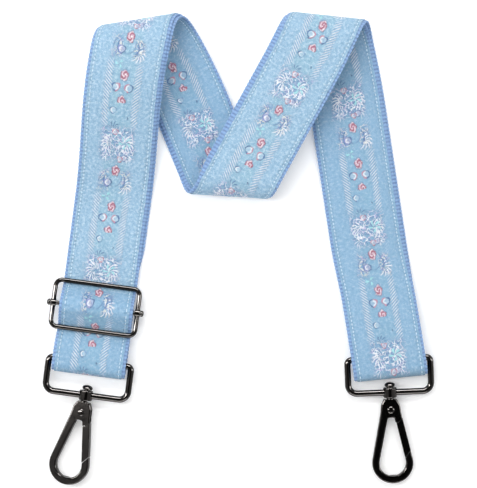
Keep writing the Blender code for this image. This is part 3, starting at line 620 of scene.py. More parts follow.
def ribbon_finish(name, way, start, stretch, depth):
    finish = Finish(name, roughness=0.52)
    cloth = Brocade(finish, way, start, stretch)
    across, along = cloth.across, cloth.along
    spot = finish.point(across, along)
    twill = ((along * 1.0 + across * 0.9) * (math.tau / 0.9)).sine() * 0.5 + 0.5
    grain = finish.noise(finish.point(across * 0.9, along * 2.6), 1.0, 3.0, 0.65)
    mottle = finish.noise(spot, 0.09, 3.0, 0.6)
    middle = ((11.0 - abs(across)) * 0.16).held()
    sparkle = finish.noise(spot, 0.5, 4.0, 0.8)
    base = finish.mix(middle, "8FB5D2", "87B3C9")
    for share, strength, tint in (
        ((mottle - 0.5) * 2.6 + 0.4, 0.6, "7FAACB"),
        ((grain - 0.5) * 3.0 + 0.3, 0.55, "A1C3DA"),
        ((sparkle - 0.52) * 12.0, 0.7, "C6DCEA"),
        ((0.47 - sparkle) * 12.0, 0.65, "648FB5"),
    ):
        base = finish.mix(share.held() * strength, base, tint)
    # Painted shade: the strap is darker from about the slider's top bar down to the left ring, and
    # the back ribbon, which shows mostly inside the loops, is darker all over by the depth share.
    painted_shade = ((-30.0 - along) * 0.1).held() * 0.4 + depth
    base = finish.mix(painted_shade, base, "6397C0")
    # Painted shade: from 7 mm before the right ring's fold on, the strap is greyed where it turns
    # down round the ring.
    fold_shade = ((along - (RIGHT_FOLD_AT * 1000 - 7.0)) * 0.12).held() * 0.6
    base = finish.mix(fold_shade, base, "6B7F8E")
    cloth.colour = finish.mix(twill * 0.2, base, "ADCBDE")

    ragged = sparkle * 9.0 + mottle * 8.0 - 8.5
    spray = (cloth.between(61.0, 7.0, 8.0) * 2.0 - 0.7 + ragged * 0.3).held()
    spray = spray * ((12.5 - abs(across) + ragged) * 0.35).held()
    low_spray = (cloth.between(36.0, 5.0, 6.0) * 1.8 - 0.7 + ragged * 0.3).held()
    low_spray = low_spray * ((abs(across) - 3.0) * 0.5).held()
    low_spray = low_spray * ((11.5 - abs(across) + ragged) * 0.3).held()
    rows = cloth.between(3.0, 20.0, 5.0).largest(cloth.between(88.0, 12.0, 5.0))
    stripe = ((2.9 - abs(abs(across) - 9.8) + ragged * 0.45) * 0.6).held()
    hatch = (((along * way - abs(across) * 0.9) * (math.tau / 2.0)).sine() * 1.6 + 0.15).held()
    woven = stripe * (rows * 0.85 + 0.15) * (1.0 - spray * 0.7)
    cloth.lay(woven * 0.35, "86AFD2", 0.0)
    cloth.lay(woven * hatch * (sparkle * 1.6 - 0.1).held(), "F1F4FB", 0.9)

    both = spray.largest(low_spray)
    cloth.lay(both * 0.4, "7BA4CB", 0.0)
    cloth.curls(0.30, 0.060, both, "5F86B4", 0.7, 7.0)
    cloth.curls(0.34, 0.050, spray, "F1F5FC", 0.9, 1.0)
    cloth.curls(0.36, 0.055, low_spray, "EFEFE6", 0.85, 4.0)
    cloth.curls(0.30, 0.034, both, "B3A8D6", 0.55, 13.0)

    both_sides = abs(cloth.u)
    for u, home_u, home_v, *fan in FANS:
        cloth.fans((both_sides if u == "both" else cloth.u) - home_u, cloth.v - home_v, *fan)
    cloth.roses(ROSES, 3.5, ROSE_DEEP, ROSE_PALE)
    for u, home_u, home_v, *bud in BUDS:
        cloth.buds((both_sides if u == "both" else cloth.u) - home_u, cloth.v - home_v, *bud)
    cloth.buds(*cloth.near(SMALL_BUDS), 2.2, ROSE_DEEP, "D59AA6", "E9C3CE")

    from_seam = abs(abs(across) - SEAM_AT * 1000)
    seam = ((1.6 - from_seam) * 0.9).held()
    pucker = ((along * (math.tau / (STITCH_PITCH * 1000))).sine() * 0.5 + 0.5) * seam
    # Painted shade: along each seam the ribbon is darkened in the dips and needle holes between the
    # stitches.
    hole = ((1.1 - from_seam) * 1.6).held() * (0.6 - pucker * 1.2).held()
    cloth.colour = finish.mix(hole * 0.55, cloth.colour, "6F96B8")
    finish.feed("Base Color", cloth.colour)
    finish.feed("Roughness", 0.56 - cloth.height.held() * 0.2)
    relief = cloth.height * 0.9 + twill * 0.2 + grain * 0.5 - pucker * 1.2
    finish.bump(relief + mottle * 0.9 + sparkle * 1.6, 0.0006, 0.9)
    finish.feed("Specular IOR Level", 0.2)
    return finish.material


RIBBON_FINISH = ribbon_finish("flowered_ribbon", 1.0, -5.0, 31.0, 0.0)
# The back ribbon gets painted shade all over, because it shows mostly inside the loops.
BACK_RIBBON_FINISH = ribbon_finish("flowered_ribbon_back", -1.0, 218.5, 0.0, 0.4)
print("ribbon nodes:", len(RIBBON_FINISH.node_tree.nodes))

# %% [markdown]
# ## Metal and thread finishes
# The fittings are plated in dark nickel, which is nearly black and mirrors the white room. Rubbing
# leaves faint smudges, so the roughness varies slowly, and the colour is a little warmer in places.

# %% Metal and thread


def nickel_finish():
    finish = Finish("dark_nickel", roughness=0.25, metallic=1.0)
    place = finish.add("TexCoord", output=3)
    smudge = finish.noise(place, 160.0, 3.0)
    fine = finish.noise(place, 1400.0, 2.0)
    base = finish.mix(smudge, "201E1D", "302D2B")
    finish.feed("Base Color", base)
    finish.feed("Roughness", 0.11 + smudge * 0.06 + fine * 0.03)
    finish.feed("Coat Weight", 0.35)
    finish.feed("Coat Roughness", 0.05)
    finish.feed("Specular Tint", (0.5, 0.5, 0.5, 1.0))
    finish.bump(fine, 0.00003, 0.35)
    return finish.material


def thread_finish():
    finish = Finish("sky_thread", roughness=0.55)
    across, along = finish.cloth()
    ply = ((along + across * 2.0) * (math.tau / 0.35)).sine() * 0.5 + 0.5
    base = finish.mix(ply, "AFD0E6", "D9EBF6")
    finish.feed("Base Color", base)
    finish.bump(ply, 0.0001, 0.6)
    return finish.material


def spring_finish():
    finish = Finish("spring_steel", roughness=0.3, metallic=1.0)
    place = finish.add("TexCoord", output=3)
    drawn = finish.noise(place, 2200.0, 2.0)
    finish.feed("Base Color", finish.mix(drawn, "8A8886", "B4B1AD"))
    finish.feed("Roughness", 0.25 + drawn * 0.15)
    return finish.material


NICKEL_FINISH = nickel_finish()
THREAD_FINISH = thread_finish()
SPRING_FINISH = spring_finish()
print("metal and thread finishes are ready")

# %% [markdown]
# ## Weaving a layer
# Each layer is woven flat, as the real one is. It starts as Blender's grid, Solidify gives it its
# thickness, and the webbing's two long edges are rounded. Only then is every corner carried to its
# place on the folded strap, and the map keeps where the corner was on the flat cloth. Cloth that is
# thickened before it is folded keeps its ends square, so that one run meets the next unseen.

# %% A flat strip


def flat_strip(stations, places_across, thickness, edge):
    """A flat strip: x is across, y is along and z is the lift, all in metres."""
    rows, columns = len(stations), len(places_across)
    cells = {"x_subdivisions": columns - 1, "y_subdivisions": rows - 1}
    item = fresh(bpy.ops.mesh.primitive_grid_add, size=2.0, **cells)
    corners = read_corners(item)
    column = np.rint((corners[:, 0] + 1) / 2 * (columns - 1)).astype(int)
    row = np.rint((corners[:, 1] + 1) / 2 * (rows - 1)).astype(int)
    corners[:, 0] = np.asarray(places_across)[column]
    corners[:, 1] = np.asarray(stations)[row]
    item.data.vertices.foreach_set("co", corners.ravel())
    item.data.update()
    apply_step(item, "SOLIDIFY", thickness=thickness, offset=0.0)
    if edge:
        corners = read_corners(item)
        outer = np.abs(corners[:, 0]) > np.max(np.abs(places_across)) - 1e-6
        ends = np.empty(2 * len(item.data.edges), int)
        item.data.edges.foreach_get("vertices", ends)
        ends = ends.reshape(-1, 2)
        step = np.abs(corners[ends[:, 0], 1] - corners[ends[:, 1], 1])
        long_edges = outer[ends].all(1) & (step > 1e-6)
        pick(item)
        bpy.ops.object.mode_set(mode="EDIT")
        bpy.ops.mesh.select_mode(type="EDGE")
        bpy.ops.mesh.select_all(action="DESELECT")
        bpy.ops.object.mode_set(mode="OBJECT")
        item.data.edges.foreach_set("select", long_edges)
        bpy.ops.object.mode_set(mode="EDIT")
        bpy.ops.mesh.bevel(offset=edge, segments=3)
        bpy.ops.object.mode_set(mode="OBJECT")
    return item


def read_corners(item):
    corners = np.empty(3 * len(item.data.vertices))
    item.data.vertices.foreach_get("co", corners)
    return corners.reshape(-1, 3)


# %% The cloth's map


def chart_cloth(item, across, along):
    """Keep where each corner was on the flat cloth, in metres, as the piece's map."""
    for layer in list(item.data.uv_layers):
        item.data.uv_layers.remove(layer)
    chart = item.data.uv_layers.new(name="cloth")
    owners = np.empty(len(item.data.loops), int)
    item.data.loops.foreach_get("vertex_index", owners)
    chart.data.foreach_set("uv", np.stack([across[owners], along[owners]], -1).ravel())


# %% Beads along the webbing's edge
ACROSS = {
    "webbing": np.array([-25.0, -24.4, -23.6, -21.0, 0.0, 21.0, 23.6, 24.4, 25.0]) / 1000,
    "ribbon": np.array(
        [-23, -22.5, -21.6, -21, -20.4, -16, -8, 0, 8, 16, 20.4, 21, 21.6, 22.5, 23]
    ) / 1000,
}
STEP = {"webbing": 0.00044, "ribbon": 0.0008}
BEAD = 0.00034
BEAD_FROM = 0.0238
RIBBON_EDGE = 0.0227
SHIFT_FROM = 0.020
print("places across:", {kind: len(places) for kind, places in ACROSS.items()})


def no_shift(along):
    return 0.0 * along


def webbing_place(route, middle_lift, shift=no_shift):
    """Carries webbing to its route, with its edge stepped out a little at each rib."""

    def place(along, across, lift):
        ribs = (along * 1000 + (across > 0) * RIB_PITCH / 2) * math.pi / RIB_PITCH
        ribs = np.abs(np.cos(ribs)) - 0.6
        edge = np.abs(across) > BEAD_FROM
        moved = across + np.sign(across) * edge * ribs * BEAD
        moved = moved + (np.abs(across) > SHIFT_FROM) * shift(along)
        return route(along, moved, middle_lift + lift * (1 + edge * ribs * 0.25))

    return place


# %% Dips along the ribbon's seams


def wander(along, across):
    """A slow unevenness of the ribbon, as sewn cloth has."""
    side = np.where(across > 0, 1.7, 0.0)
    edge = np.clip((np.abs(across) - 0.010) / 0.012, 0.0, 1.0)
    waves = np.sin(along * 430 + side * 3) + np.sin(along * 791 + side) * 0.7
    return 0.00009 * edge * waves


def ribbon_place(route, middle_lift, shift=no_shift):
    """Carries ribbon to its route. It dips along its two seams, a little more at each stitch."""

    def place(along, across, lift):
        seam = np.exp(-(((np.abs(across) - SEAM_AT) / 0.0007) ** 2))
        dip = seam * (0.00009 + 0.00006 * np.cos(along * math.tau / STITCH_PITCH))
        edge = np.abs(across) > RIBBON_EDGE
        moved = across + np.sign(across) * edge * wander(along * 1.7, across)
        moved = moved + (np.abs(across) > SHIFT_FROM) * shift(along)
        raised = middle_lift + lift - math.copysign(1.0, middle_lift) * dip
        inner = np.abs(across) < RIBBON_EDGE
        return route(along, moved, raised + wander(along, across) * inner)

    return place


# %% From flat to folded


def strip(name, start, end, step, thickness, place, finish, edge=0.0):
    """A layer that is woven flat and then carried to place(along, across, lift)."""
    kind = name.split("_")[0]
    stations = np.linspace(start, end, round((end - start) / step) + 1)
    item = flat_strip(stations, ACROSS[kind], thickness, edge)
    across, along, lift = read_corners(item).T
    chart_cloth(item, across, along)
    item.data.vertices.foreach_set("co", place(along, across, lift).ravel())
    item.data.update()
    item.data.materials.clear()
    item.data.materials.append(finish)
    smooth(settle(item, name), 50.0)
    return item


# %% [markdown]
# ## The strap's four layers
# The long run stays with the strap's own body. The run through the slider and the last run, round
# the ring, are pieces of their own, which stay where they are made. Each run repeats the same four
# layers, and because all of them read one map, the ribs and flowers run on from piece to piece.

# %% Runs of the strap
HANDOVER = 0.062
RUNS = {
    "long": (HANDOVER, STRAP_END),
    "at_slider": (-OVER_BAR, HANDOVER),
    "to_ring": (-THREADED.length, -OVER_BAR),
}
STAND_FOR = {"at_slider": "strap_at_slider", "to_ring": "strap_round_left_ring"}
LEG_1_SPOT = Vector(middle_of_strap(np.array([HANDOVER]), np.array([0.0]))[0])


def follow(piece, run):
    """Let a piece of the long run move with the strap's body, and leave the others where they are.
    """
    if run == "long":
        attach(piece, "strap")
    elif run == "at_slider":
        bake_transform(piece)
    else:
        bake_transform(piece)


def layers(run, start, end):
    """The four layers between two distances along the strap."""
    made = []
    for side, sign, shift, finish in (
        ("front", 1, no_shift, RIBBON_FINISH),
        ("back", -1, back_shift, BACK_RIBBON_FINISH),
    ):
        web = webbing_place(strap_place, sign * WEBBING_LIFT, shift)
        cloth = (start, end, STEP["webbing"], WEBBING_THICKNESS, web, WEBBING_FINISH, 0.0005)
        made.append(strip(f"webbing_{side}_{run}", *cloth))
        face = ribbon_place(strap_place, sign * RIBBON_LIFT, shift)
        cloth = (start, end, STEP["ribbon"], RIBBON_THICKNESS, face, finish)
        made.append(strip(f"ribbon_{side}_{run}", *cloth))
    print(run, "run:", round((end - start) * 1000), "mm,", len(made), "layers")
    return made


for run, (start, end) in RUNS.items():
    for piece in layers(run, start, end):
        follow(piece, run)
        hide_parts(STAND_FOR.get(run, piece.name.removesuffix("_long")))

# %% [markdown]
# ## The tail
# Under the slider the strap is thinned to its front webbing and ribbon, which go back to the middle
# bar, round it, and lie on themselves where they are sewn.

# %% The tail
tail_web = webbing_place(TAIL.place, -0.00032)
tail_face = ribbon_place(TAIL.place, 0.00055)
for name, step, thickness, place, finish, edge in (
    ("webbing_tail", STEP["webbing"], 0.0009, tail_web, WEBBING_FINISH, 0.0003),
    ("ribbon_tail", 0.0009, RIBBON_THICKNESS, tail_face, RIBBON_FINISH, 0.0),
):
    piece = strip(name, 0.0, TAIL.length, step, thickness, place, finish, edge)
    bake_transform(piece)
    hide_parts("strap_tail")
print("tail length:", round(TAIL.length * 1000, 1), "mm")

# %% [markdown]
# ## Stitches
# Each ribbon is sewn on by a line of short pale stitches near each edge. One stitch is a flattened
# ball. It is copied to every place along the seam in the strap's own coordinates, so that the
# stitches follow the folds.

# %% Stitches
STITCH_HALVES = (0.0004, 0.0009, 0.00018)


def stitch_shape():
    """Corners and faces of one stitch."""
    ball = fresh(bpy.ops.mesh.primitive_uv_sphere_add, segments=6, ring_count=5, radius=1.0)
    corners = np.array([tuple(corner.co) for corner in ball.data.vertices])
    faces = [tuple(face.vertices) for face in ball.data.polygons]
    bpy.data.objects.remove(ball, do_unlink=True)
    return corners[:, [0, 2, 1]] * np.array(STITCH_HALVES), [face[::-1] for face in faces]


STITCH, STITCH_FACES = stitch_shape()


def seams(name, spots):
    """One object that holds a stitch at each (along, across, lift) spot."""
    shape, faces, count = STITCH, STITCH_FACES, len(STITCH)
    across = np.concatenate([shape[:, 0] + spot[1] for spot in spots])
    along = np.concatenate([shape[:, 1] + spot[0] for spot in spots])
    lift = np.concatenate([shape[:, 2] * math.copysign(1.0, spot[2]) + spot[2] for spot in spots])
    mesh = bpy.data.meshes.new(name)
    every = [tuple(v + count * i for v in face) for i in range(len(spots)) for face in faces]
    mesh.from_pydata([tuple(p) for p in strap_place(along, across, lift)], [], every)
    item = bpy.data.objects.new(name, mesh)
    chart_cloth(item, across, along)
    bpy.context.collection.objects.link(item)
    close_up(item, merge=False)
    bpy.ops.object.shade_smooth()
    mesh.materials.append(THREAD_FINISH)
    return item


def seam_spots(start, end, lift, shift):
    """The middles of the stitches of both seams on one face."""
    rows = np.arange(start + SEAM_END, end - SEAM_END, STITCH_PITCH)
    return [(v, sign * SEAM_AT + float(shift(v)), lift) for v in rows for sign in (-1, 1)]


SEAM_END = 0.001
SEAM_LIFT = HALF - 0.00002
for tag, (start, end) in RUNS.items():
    spots = seam_spots(start, end, SEAM_LIFT, no_shift)
    spots += seam_spots(start, end, -SEAM_LIFT, back_shift)
    piece = seams("stitches_" + tag, spots)
    follow(piece, tag)
    print("stitches in", tag, len(spots))

# %% [markdown]
# ## Seats for the fittings
# Every fitting is modelled round its own origin and then moved to its seat: the slider lies in the
# slider's seat, a ring's seat is on its top bar, and a hook's seat is on the ring's low bar.

# %% Seats
RING_WIDTH = 0.061
RING_HEIGHT = 0.0231
STUD_PLAY = 0.0005
STUD_GAP = 0.0006
RING_BAR_HEIGHT = STRAP_THICKNESS + GAP + RING_WIRE
SLIDER_ASIDE = -0.0010
LEFT_RING_ASIDE = 0.0003
RIGHT_RING_ASIDE = -0.0009
RING_IN_FOLD = 0.084
RING_PAST_FOLD = 0.0062
LEFT_RING_TILT, RIGHT_RING_TILT = math.radians(1.4), math.radians(3.0)
RIGHT_RING_TURN = math.radians(6.4)
slider_lean = math.atan2(LOW_BAR_HEIGHT - TOP_BAR_HEIGHT, LOW_BAR_AT - TOP_BAR_AT)
SLIDER_SEAT = ZONE @ Matrix.Translation((SLIDER_ASIDE, -SLIDER_AT, BAR_HEIGHT))
SLIDER_SEAT = SLIDER_SEAT @ Matrix.Rotation(-slider_lean, 4, "X")
LEFT_RING_SEAT = ZONE @ Matrix.Translation((LEFT_RING_ASIDE, -RING_IN_FOLD, RING_BAR_HEIGHT))
LEFT_RING_SEAT = LEFT_RING_SEAT @ Matrix.Rotation(LEFT_RING_TILT, 4, "X")
TO_LOW_BAR = Matrix.Translation((0.0, -RING_HEIGHT, 0.0))
LEFT_HOOK_LEAN = Matrix.Rotation(-math.radians(6.0), 4, "Z")
LEFT_HOOK_ROLL = Matrix.Rotation(-math.radians(12.0), 4, "Y")
LEFT_HOOK_SEAT = LEFT_RING_SEAT @ TO_LOW_BAR @ LEFT_HOOK_LEAN @ LEFT_HOOK_ROLL

fold_spot, leg_spot = middle_of_strap(RIGHT_FOLD_AT - np.array([0.0, 0.06]), np.zeros(2))
right_turn = math.atan2(leg_spot[0] - fold_spot[0], leg_spot[1] - fold_spot[1])
right_turn += RIGHT_RING_TURN
bar_reach = RING_PAST_FOLD + RING_FOLD_RADIUS
RIGHT_RING_SEAT = Matrix.Translation((fold_spot[0], fold_spot[1], RING_BAR_HEIGHT))
RIGHT_RING_SEAT = RIGHT_RING_SEAT @ Matrix.Rotation(-right_turn, 4, "Z")
RIGHT_RING_SEAT = RIGHT_RING_SEAT @ Matrix.Translation((RIGHT_RING_ASIDE, bar_reach, 0.0))
RIGHT_RING_SEAT = RIGHT_RING_SEAT @ Matrix.Rotation(RIGHT_RING_TILT, 4, "X")
RIGHT_HOOK_SEAT = RIGHT_RING_SEAT @ TO_LOW_BAR
print("right hook at", [round(v, 4) for v in RIGHT_HOOK_SEAT.translation])

# %% [markdown]
# ## Bent wire
# The slider and the rings are wire bent round a shape. A curve with a round bevel is the easiest
# bent wire, and turning it into a mesh lets the eyes and bosses be joined to it.

# %% Wire and plates


def arc(x, y, radius, start, end, points):
    """Points on an arc, with angles in degrees."""
    angles = [math.radians(start + (end - start) * i / points) for i in range(points + 1)]
    return [(x + radius * math.cos(a), y + radius * math.sin(a)) for a in angles]


def from_outlines(outlines, closed=True, **settings):
    """The mesh of a curve that follows flat outlines and has these settings."""
    curve = bpy.data.curves.new("outline", "CURVE")
    for name, value in settings.items():
        setattr(curve, name, value)
    for outline in outlines:
        spline = curve.splines.new("POLY")
        spline.points.add(len(outline) - 1)
        for point, (x, y) in zip(spline.points, outline):
            point.co = (x, y, 0.0, 1.0)
        spline.use_cyclic_u = closed
    item = bpy.data.objects.new("outline", curve)
    bpy.context.collection.objects.link(item)
    pick(item)
    bpy.ops.object.convert(target="MESH")
    return close_up(bpy.context.object)


def bent_wire(points, radius, closed=True):
    """A round wire through flat points."""
    shape = {"bevel_depth": radius, "bevel_resolution": 6, "use_fill_caps": True}
    return from_outlines([points], closed, dimensions="3D", **shape)


def plate(outlines, thickness):
    """A flat plate from outlines, the first one outer and the others holes."""
    return from_outlines(outlines, dimensions="2D", fill_mode="BOTH", extrude=thickness / 2)


# %% Rods, rounded edges and cuts
AXIS_TURNS = {"X": (0.0, math.pi / 2, 0.0), "Y": (math.pi / 2, 0.0, 0.0), "Z": (0.0, 0.0, 0.0)}


def rod(radius, start, end, axis, sides=48):
    """A cylinder between two places on one of the seat's axes."""
    middle = [0.0, 0.0, 0.0]
    middle["XYZ".index(axis)] = (start + end) / 2
    size = {"vertices": sides, "radius": radius, "depth": end - start}
    place = {"location": middle, "rotation": AXIS_TURNS[axis]}
    return settle(fresh(bpy.ops.mesh.primitive_cylinder_add, **size, **place), "rod")


def soften(item, width, segments=3, angle=40.0, clamp=True):
    """Round off the sharp edges. A clamped bevel stays narrower than the shortest edge."""
    size = {"width": width, "segments": segments, "use_clamp_overlap": clamp}
    edges = {"limit_method": "ANGLE", "angle_limit": math.radians(angle)}
    return apply_step(item, "BEVEL", **size, **edges)


def boolean(item, other, operation):
    """Join the other object to this one, or cut it out, and remove the other."""
    apply_step(item, "BOOLEAN", object=other, operation=operation, solver="EXACT")
    bpy.data.objects.remove(other, do_unlink=True)
    return item


# %% Turned pieces


def turned(profile, axis, sides=40):
    """A turned piece: a line of (radius, place on the axis) spun all the way round."""
    item = fresh(bpy.ops.mesh.primitive_plane_add, size=0.001)
    bpy.ops.object.mode_set(mode="EDIT")
    bpy.ops.mesh.select_all(action="SELECT")
    bpy.ops.mesh.delete(type="VERT")
    shape = bmesh.from_edit_mesh(item.data)
    corners = [shape.verts.new((radius, 0.0, spot)) for radius, spot in profile]
    for first, second in zip(corners, corners[1:]):
        shape.edges.new((first, second))
    bmesh.update_edit_mesh(item.data)
    bpy.ops.mesh.select_all(action="SELECT")
    bpy.ops.mesh.spin(steps=sides, angle=math.tau, center=(0, 0, 0), axis=(0, 0, 1))
    bpy.ops.object.mode_set(mode="OBJECT")
    item.rotation_euler = AXIS_TURNS[axis] if axis != "Y" else (-math.pi / 2, 0.0, 0.0)
    return close_up(settle(item, "turned"))


# %% Finishing a fitting


def fit(item, name, seat, body, node, finish=None, angle=35.0):
    """Finish a fitting: its place, its shading, its metal, its body and the solid it stands for."""
    settle(item, name, seat)
    smooth(item, angle)
    apply_step(item, "WEIGHTED_NORMAL", keep_sharp=True, weight=70)
    item.data.materials.clear()
    item.data.materials.append(finish or NICKEL_FINISH)
    if body:
        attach(item, body)
    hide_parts(node)
    print(name, len(item.data.polygons), "faces")
    return item


# %% [markdown]
# ## The slider
# The slider is a rounded rectangle of wire with an eye on each side, and a bar with small round
# knobs runs through the eyes.

# %% The slider
SLIDER_CORNER = 0.0045
EYE_RADIUS, EYE_HALF = 0.0027, 0.0019
BAR_PLAY = 0.0002
slider_side = SLIDER_WIDTH / 2 - SLIDER_WIRE
slider_end = SLIDER_HEIGHT / 2 - SLIDER_WIRE
outline = []
for quarter, (sign_x, sign_y) in enumerate(((1, 1), (-1, 1), (-1, -1), (1, -1))):
    corner = (sign_x * (slider_side - SLIDER_CORNER), sign_y * (slider_end - SLIDER_CORNER))
    outline += arc(*corner, SLIDER_CORNER, 90.0 * quarter, 90.0 * quarter + 90.0, 12)
slider = bent_wire(outline, SLIDER_WIRE)
for sign in (-1, 1):
    eye_at = sign * slider_side
    eye = rod(EYE_RADIUS, eye_at - EYE_HALF, eye_at + EYE_HALF, "X")
    boolean(slider, soften(eye, 0.0005), "UNION")
boolean(slider, rod(SLIDER_BAR_RADIUS + BAR_PLAY, -0.04, 0.04, "X"), "DIFFERENCE")
fit(slider, "slider_frame_wire", SLIDER_SEAT, "slider", "slider_frame")

# %% The slider's bar
knob = [(0.0, 0.0333), (0.0009, 0.0332), (0.0016, 0.0329), (0.0021, 0.0323), (0.00225, 0.0318)]
knob += [(0.0021, 0.0313), (0.0018, 0.0311), (SLIDER_BAR_RADIUS, 0.0311)]
bar = turned(knob + [(radius, -spot) for radius, spot in reversed(knob)], "X")
fit(bar, "slider_bar_rod", SLIDER_SEAT, "slider_bar", "slider_bar")

# %% [markdown]
# ## The rings
# A ring is bent wire too. A boss in the middle of its low bar is bored for the hook's stud.

# %% The rings
STUD_RADIUS = 0.0019
BOSS_RADIUS, BOSS_HALF = 0.0046, 0.0035
RING_TOP_CORNER = 0.0028
RING_CORNER = 0.0060
ring_side = RING_WIDTH / 2 - RING_WIRE


def ring(side, seat):
    top, low = RING_TOP_CORNER, RING_CORNER
    points = arc(ring_side - top, -top, top, 0.0, 90.0, 10)
    points += arc(-ring_side + top, -top, top, 90.0, 180.0, 10)
    points += arc(-ring_side + low, -RING_HEIGHT + low, low, 180.0, 270.0, 12)
    points += arc(ring_side - low, -RING_HEIGHT + low, low, 270.0, 360.0, 12)
    wire = bent_wire(points, RING_WIRE)
    boss = rod(BOSS_RADIUS, -RING_HEIGHT - BOSS_HALF, -RING_HEIGHT + BOSS_HALF, "Y")
    boolean(wire, soften(boss, 0.0008), "UNION")
    bore = rod(STUD_RADIUS + STUD_PLAY, -RING_HEIGHT - 0.01, -RING_HEIGHT + 0.01, "Y")
    boolean(wire, bore, "DIFFERENCE")
    return fit(wire, "ring_wire_" + side, seat, "ring_" + side, "ring_" + side)


ring("left", LEFT_RING_SEAT)
ring("right", RIGHT_RING_SEAT)

# %% [markdown]
# ## The hooks
# A hook is cast flat with rounded edges: a round foot, two leaning limbs and a six-sided head. Its
# outline is two tangent lines from the head to a circle. The gate fills the gap in one limb, and a
# thin tongue of it sits in a slot of the head, round the rivet.

# %% Outline of a hook
HOOK_EYE_AT = 0.0485
HOOK_RADIUS = 0.0140
WINDOW_RADIUS = 0.0091
HOOK_THICKNESS = 0.0050
HEAD_FOOT = 0.0140
HEAD_HALF = 0.0070
HEAD_SHOULDER, HEAD_SHOULDER_HALF = 0.0086, 0.0065
HEAD_TOP, HEAD_TOP_HALF = 0.0045, 0.0044
NECK_RADIUS, NECK_FOOT = 0.00245, 0.0075
STUD_END, STUD_FIT = 0.0070, 0.0002
WINDOW_TOP, WINDOW_CORNER, WINDOW_INSET = 0.0173, 0.0016, 0.0012
PIVOT_AT = 0.0119
RIVET_HOLE = 0.00145
SLOT_HALF, SLOT_TOP, SLOT_STEP, SLOT_FOOT = 0.0012, 0.0089, 0.0170, 0.0267
SLOT_BACK, SLOT_LOW_BACK, SLOT_FRONT = 0.0050, 0.0030, 0.0039
TONGUE_HALF, TONGUE_EYE, TONGUE_REACH = 0.0009, 0.0034, 0.0015
SEAM_RADIUS = 0.0093
limb_reach = HOOK_EYE_AT - HEAD_FOOT
LEAN = math.atan2(limb_reach, HEAD_HALF)
LEAN -= math.acos(HOOK_RADIUS / math.hypot(HEAD_HALF, limb_reach))


def limb_x(radius, y):
    """Where the limb's line that touches a round of this radius stands at a height."""
    return (radius - (y + HOOK_EYE_AT) * math.sin(LEAN)) / math.cos(LEAN)


def teardrop(radius, top, half):
    lean = math.degrees(LEAN)
    return arc(0.0, -HOOK_EYE_AT, radius, lean, -180.0 - lean, 48) + [(-half, top), (half, top)]


print("the limbs lean by", round(math.degrees(LEAN), 1), "degrees")

# %% The hook's body
GATE_IN, GATE_OUT = 0.0456, 0.0405


def gate_ends(shift=0.0):
    """The gate's lower end, where it meets the inner and the outer line of the limb."""
    inner = (limb_x(WINDOW_RADIUS, -GATE_IN + shift), -GATE_IN + shift)
    outer = (limb_x(HOOK_RADIUS, -GATE_OUT + shift), -GATE_OUT + shift)
    return inner, outer


def pivot_eye(item, radius, half, operation):
    """Cut or join a disc round the rivet, and then bore the rivet's hole."""
    at_rivet = Matrix.Translation((0, -PIVOT_AT, 0))
    boolean(item, settle(rod(radius, -half, half, "Z"), "disc", at_rivet), operation)
    boolean(item, settle(rod(RIVET_HOLE, -0.01, 0.01, "Z", 32), "hole", at_rivet), "DIFFERENCE")


def hook(side, seat):
    outer = teardrop(HOOK_RADIUS, -HEAD_FOOT, HEAD_HALF)
    outer = outer[:-1] + [(-HEAD_SHOULDER_HALF, -HEAD_SHOULDER), (-HEAD_TOP_HALF, -HEAD_TOP)]
    outer += [(HEAD_TOP_HALF, -HEAD_TOP), (HEAD_SHOULDER_HALF, -HEAD_SHOULDER)]
    outer.append((HEAD_HALF, -HEAD_FOOT))
    top_half = limb_x(WINDOW_RADIUS, -WINDOW_TOP) * 0.8
    window = teardrop(WINDOW_RADIUS, -WINDOW_TOP, top_half)[:-2]
    corner = (-WINDOW_TOP - WINDOW_CORNER, WINDOW_CORNER)
    window += arc(-top_half + WINDOW_INSET, *corner, 170.0, 90.0, 6)
    window += arc(top_half - WINDOW_INSET, *corner, 90.0, 10.0, 6)
    body = soften(plate([outer, window], HOOK_THICKNESS), 0.0010, 5, 60.0, clamp=False)
    neck = soften(rod(NECK_RADIUS, -NECK_FOOT, -BOSS_HALF - STUD_GAP, "Y"), 0.0002, 2)
    boolean(body, neck, "UNION")
    boolean(body, rod(STUD_RADIUS + STUD_FIT, -STUD_END - GAP, 0.0, "Y"), "DIFFERENCE")
    far = HOOK_RADIUS + 0.002
    slot = [(-SLOT_BACK, -PIVOT_AT), (-SLOT_BACK, -SLOT_STEP), (-SLOT_LOW_BACK, -SLOT_STEP)]
    slot += [(-SLOT_LOW_BACK, -SLOT_FOOT), (far, -SLOT_FOOT), (far, -SLOT_TOP)]
    slot += [(SLOT_FRONT, -SLOT_TOP), (0.0, -PIVOT_AT)]
    boolean(body, plate([slot], 2 * SLOT_HALF), "DIFFERENCE")
    pivot_eye(body, TONGUE_EYE + 0.0005, SLOT_HALF, "DIFFERENCE")
    (in_x, in_y), (out_x, out_y) = gate_ends()
    slope = (out_y - in_y) / (out_x - in_x)
    gap = [(in_x - 0.002, in_y - 0.002 * slope), (out_x + 0.002, out_y + 0.002 * slope)]
    gap += [(far + 0.002, -HEAD_FOOT)] + arc(0.0, -PIVOT_AT, SEAM_RADIUS, -20.0, -80.0, 16)
    boolean(body, plate([gap], 0.01), "DIFFERENCE")
    return fit(body, "hook_body_" + side, seat, "hook_" + side, "hook_" + side, angle=30.0)


for side, seat in (("left", LEFT_HOOK_SEAT), ("right", RIGHT_HOOK_SEAT)):
    hook(side, seat)

# %% [markdown]
# ## Gates, rivets, springs and studs
# The small pieces share the rivet's place. The gate is a plate with the limb's own outline, and the
# stud is turned, with a mushroom head that stands above the ring's boss.

# %% The gate


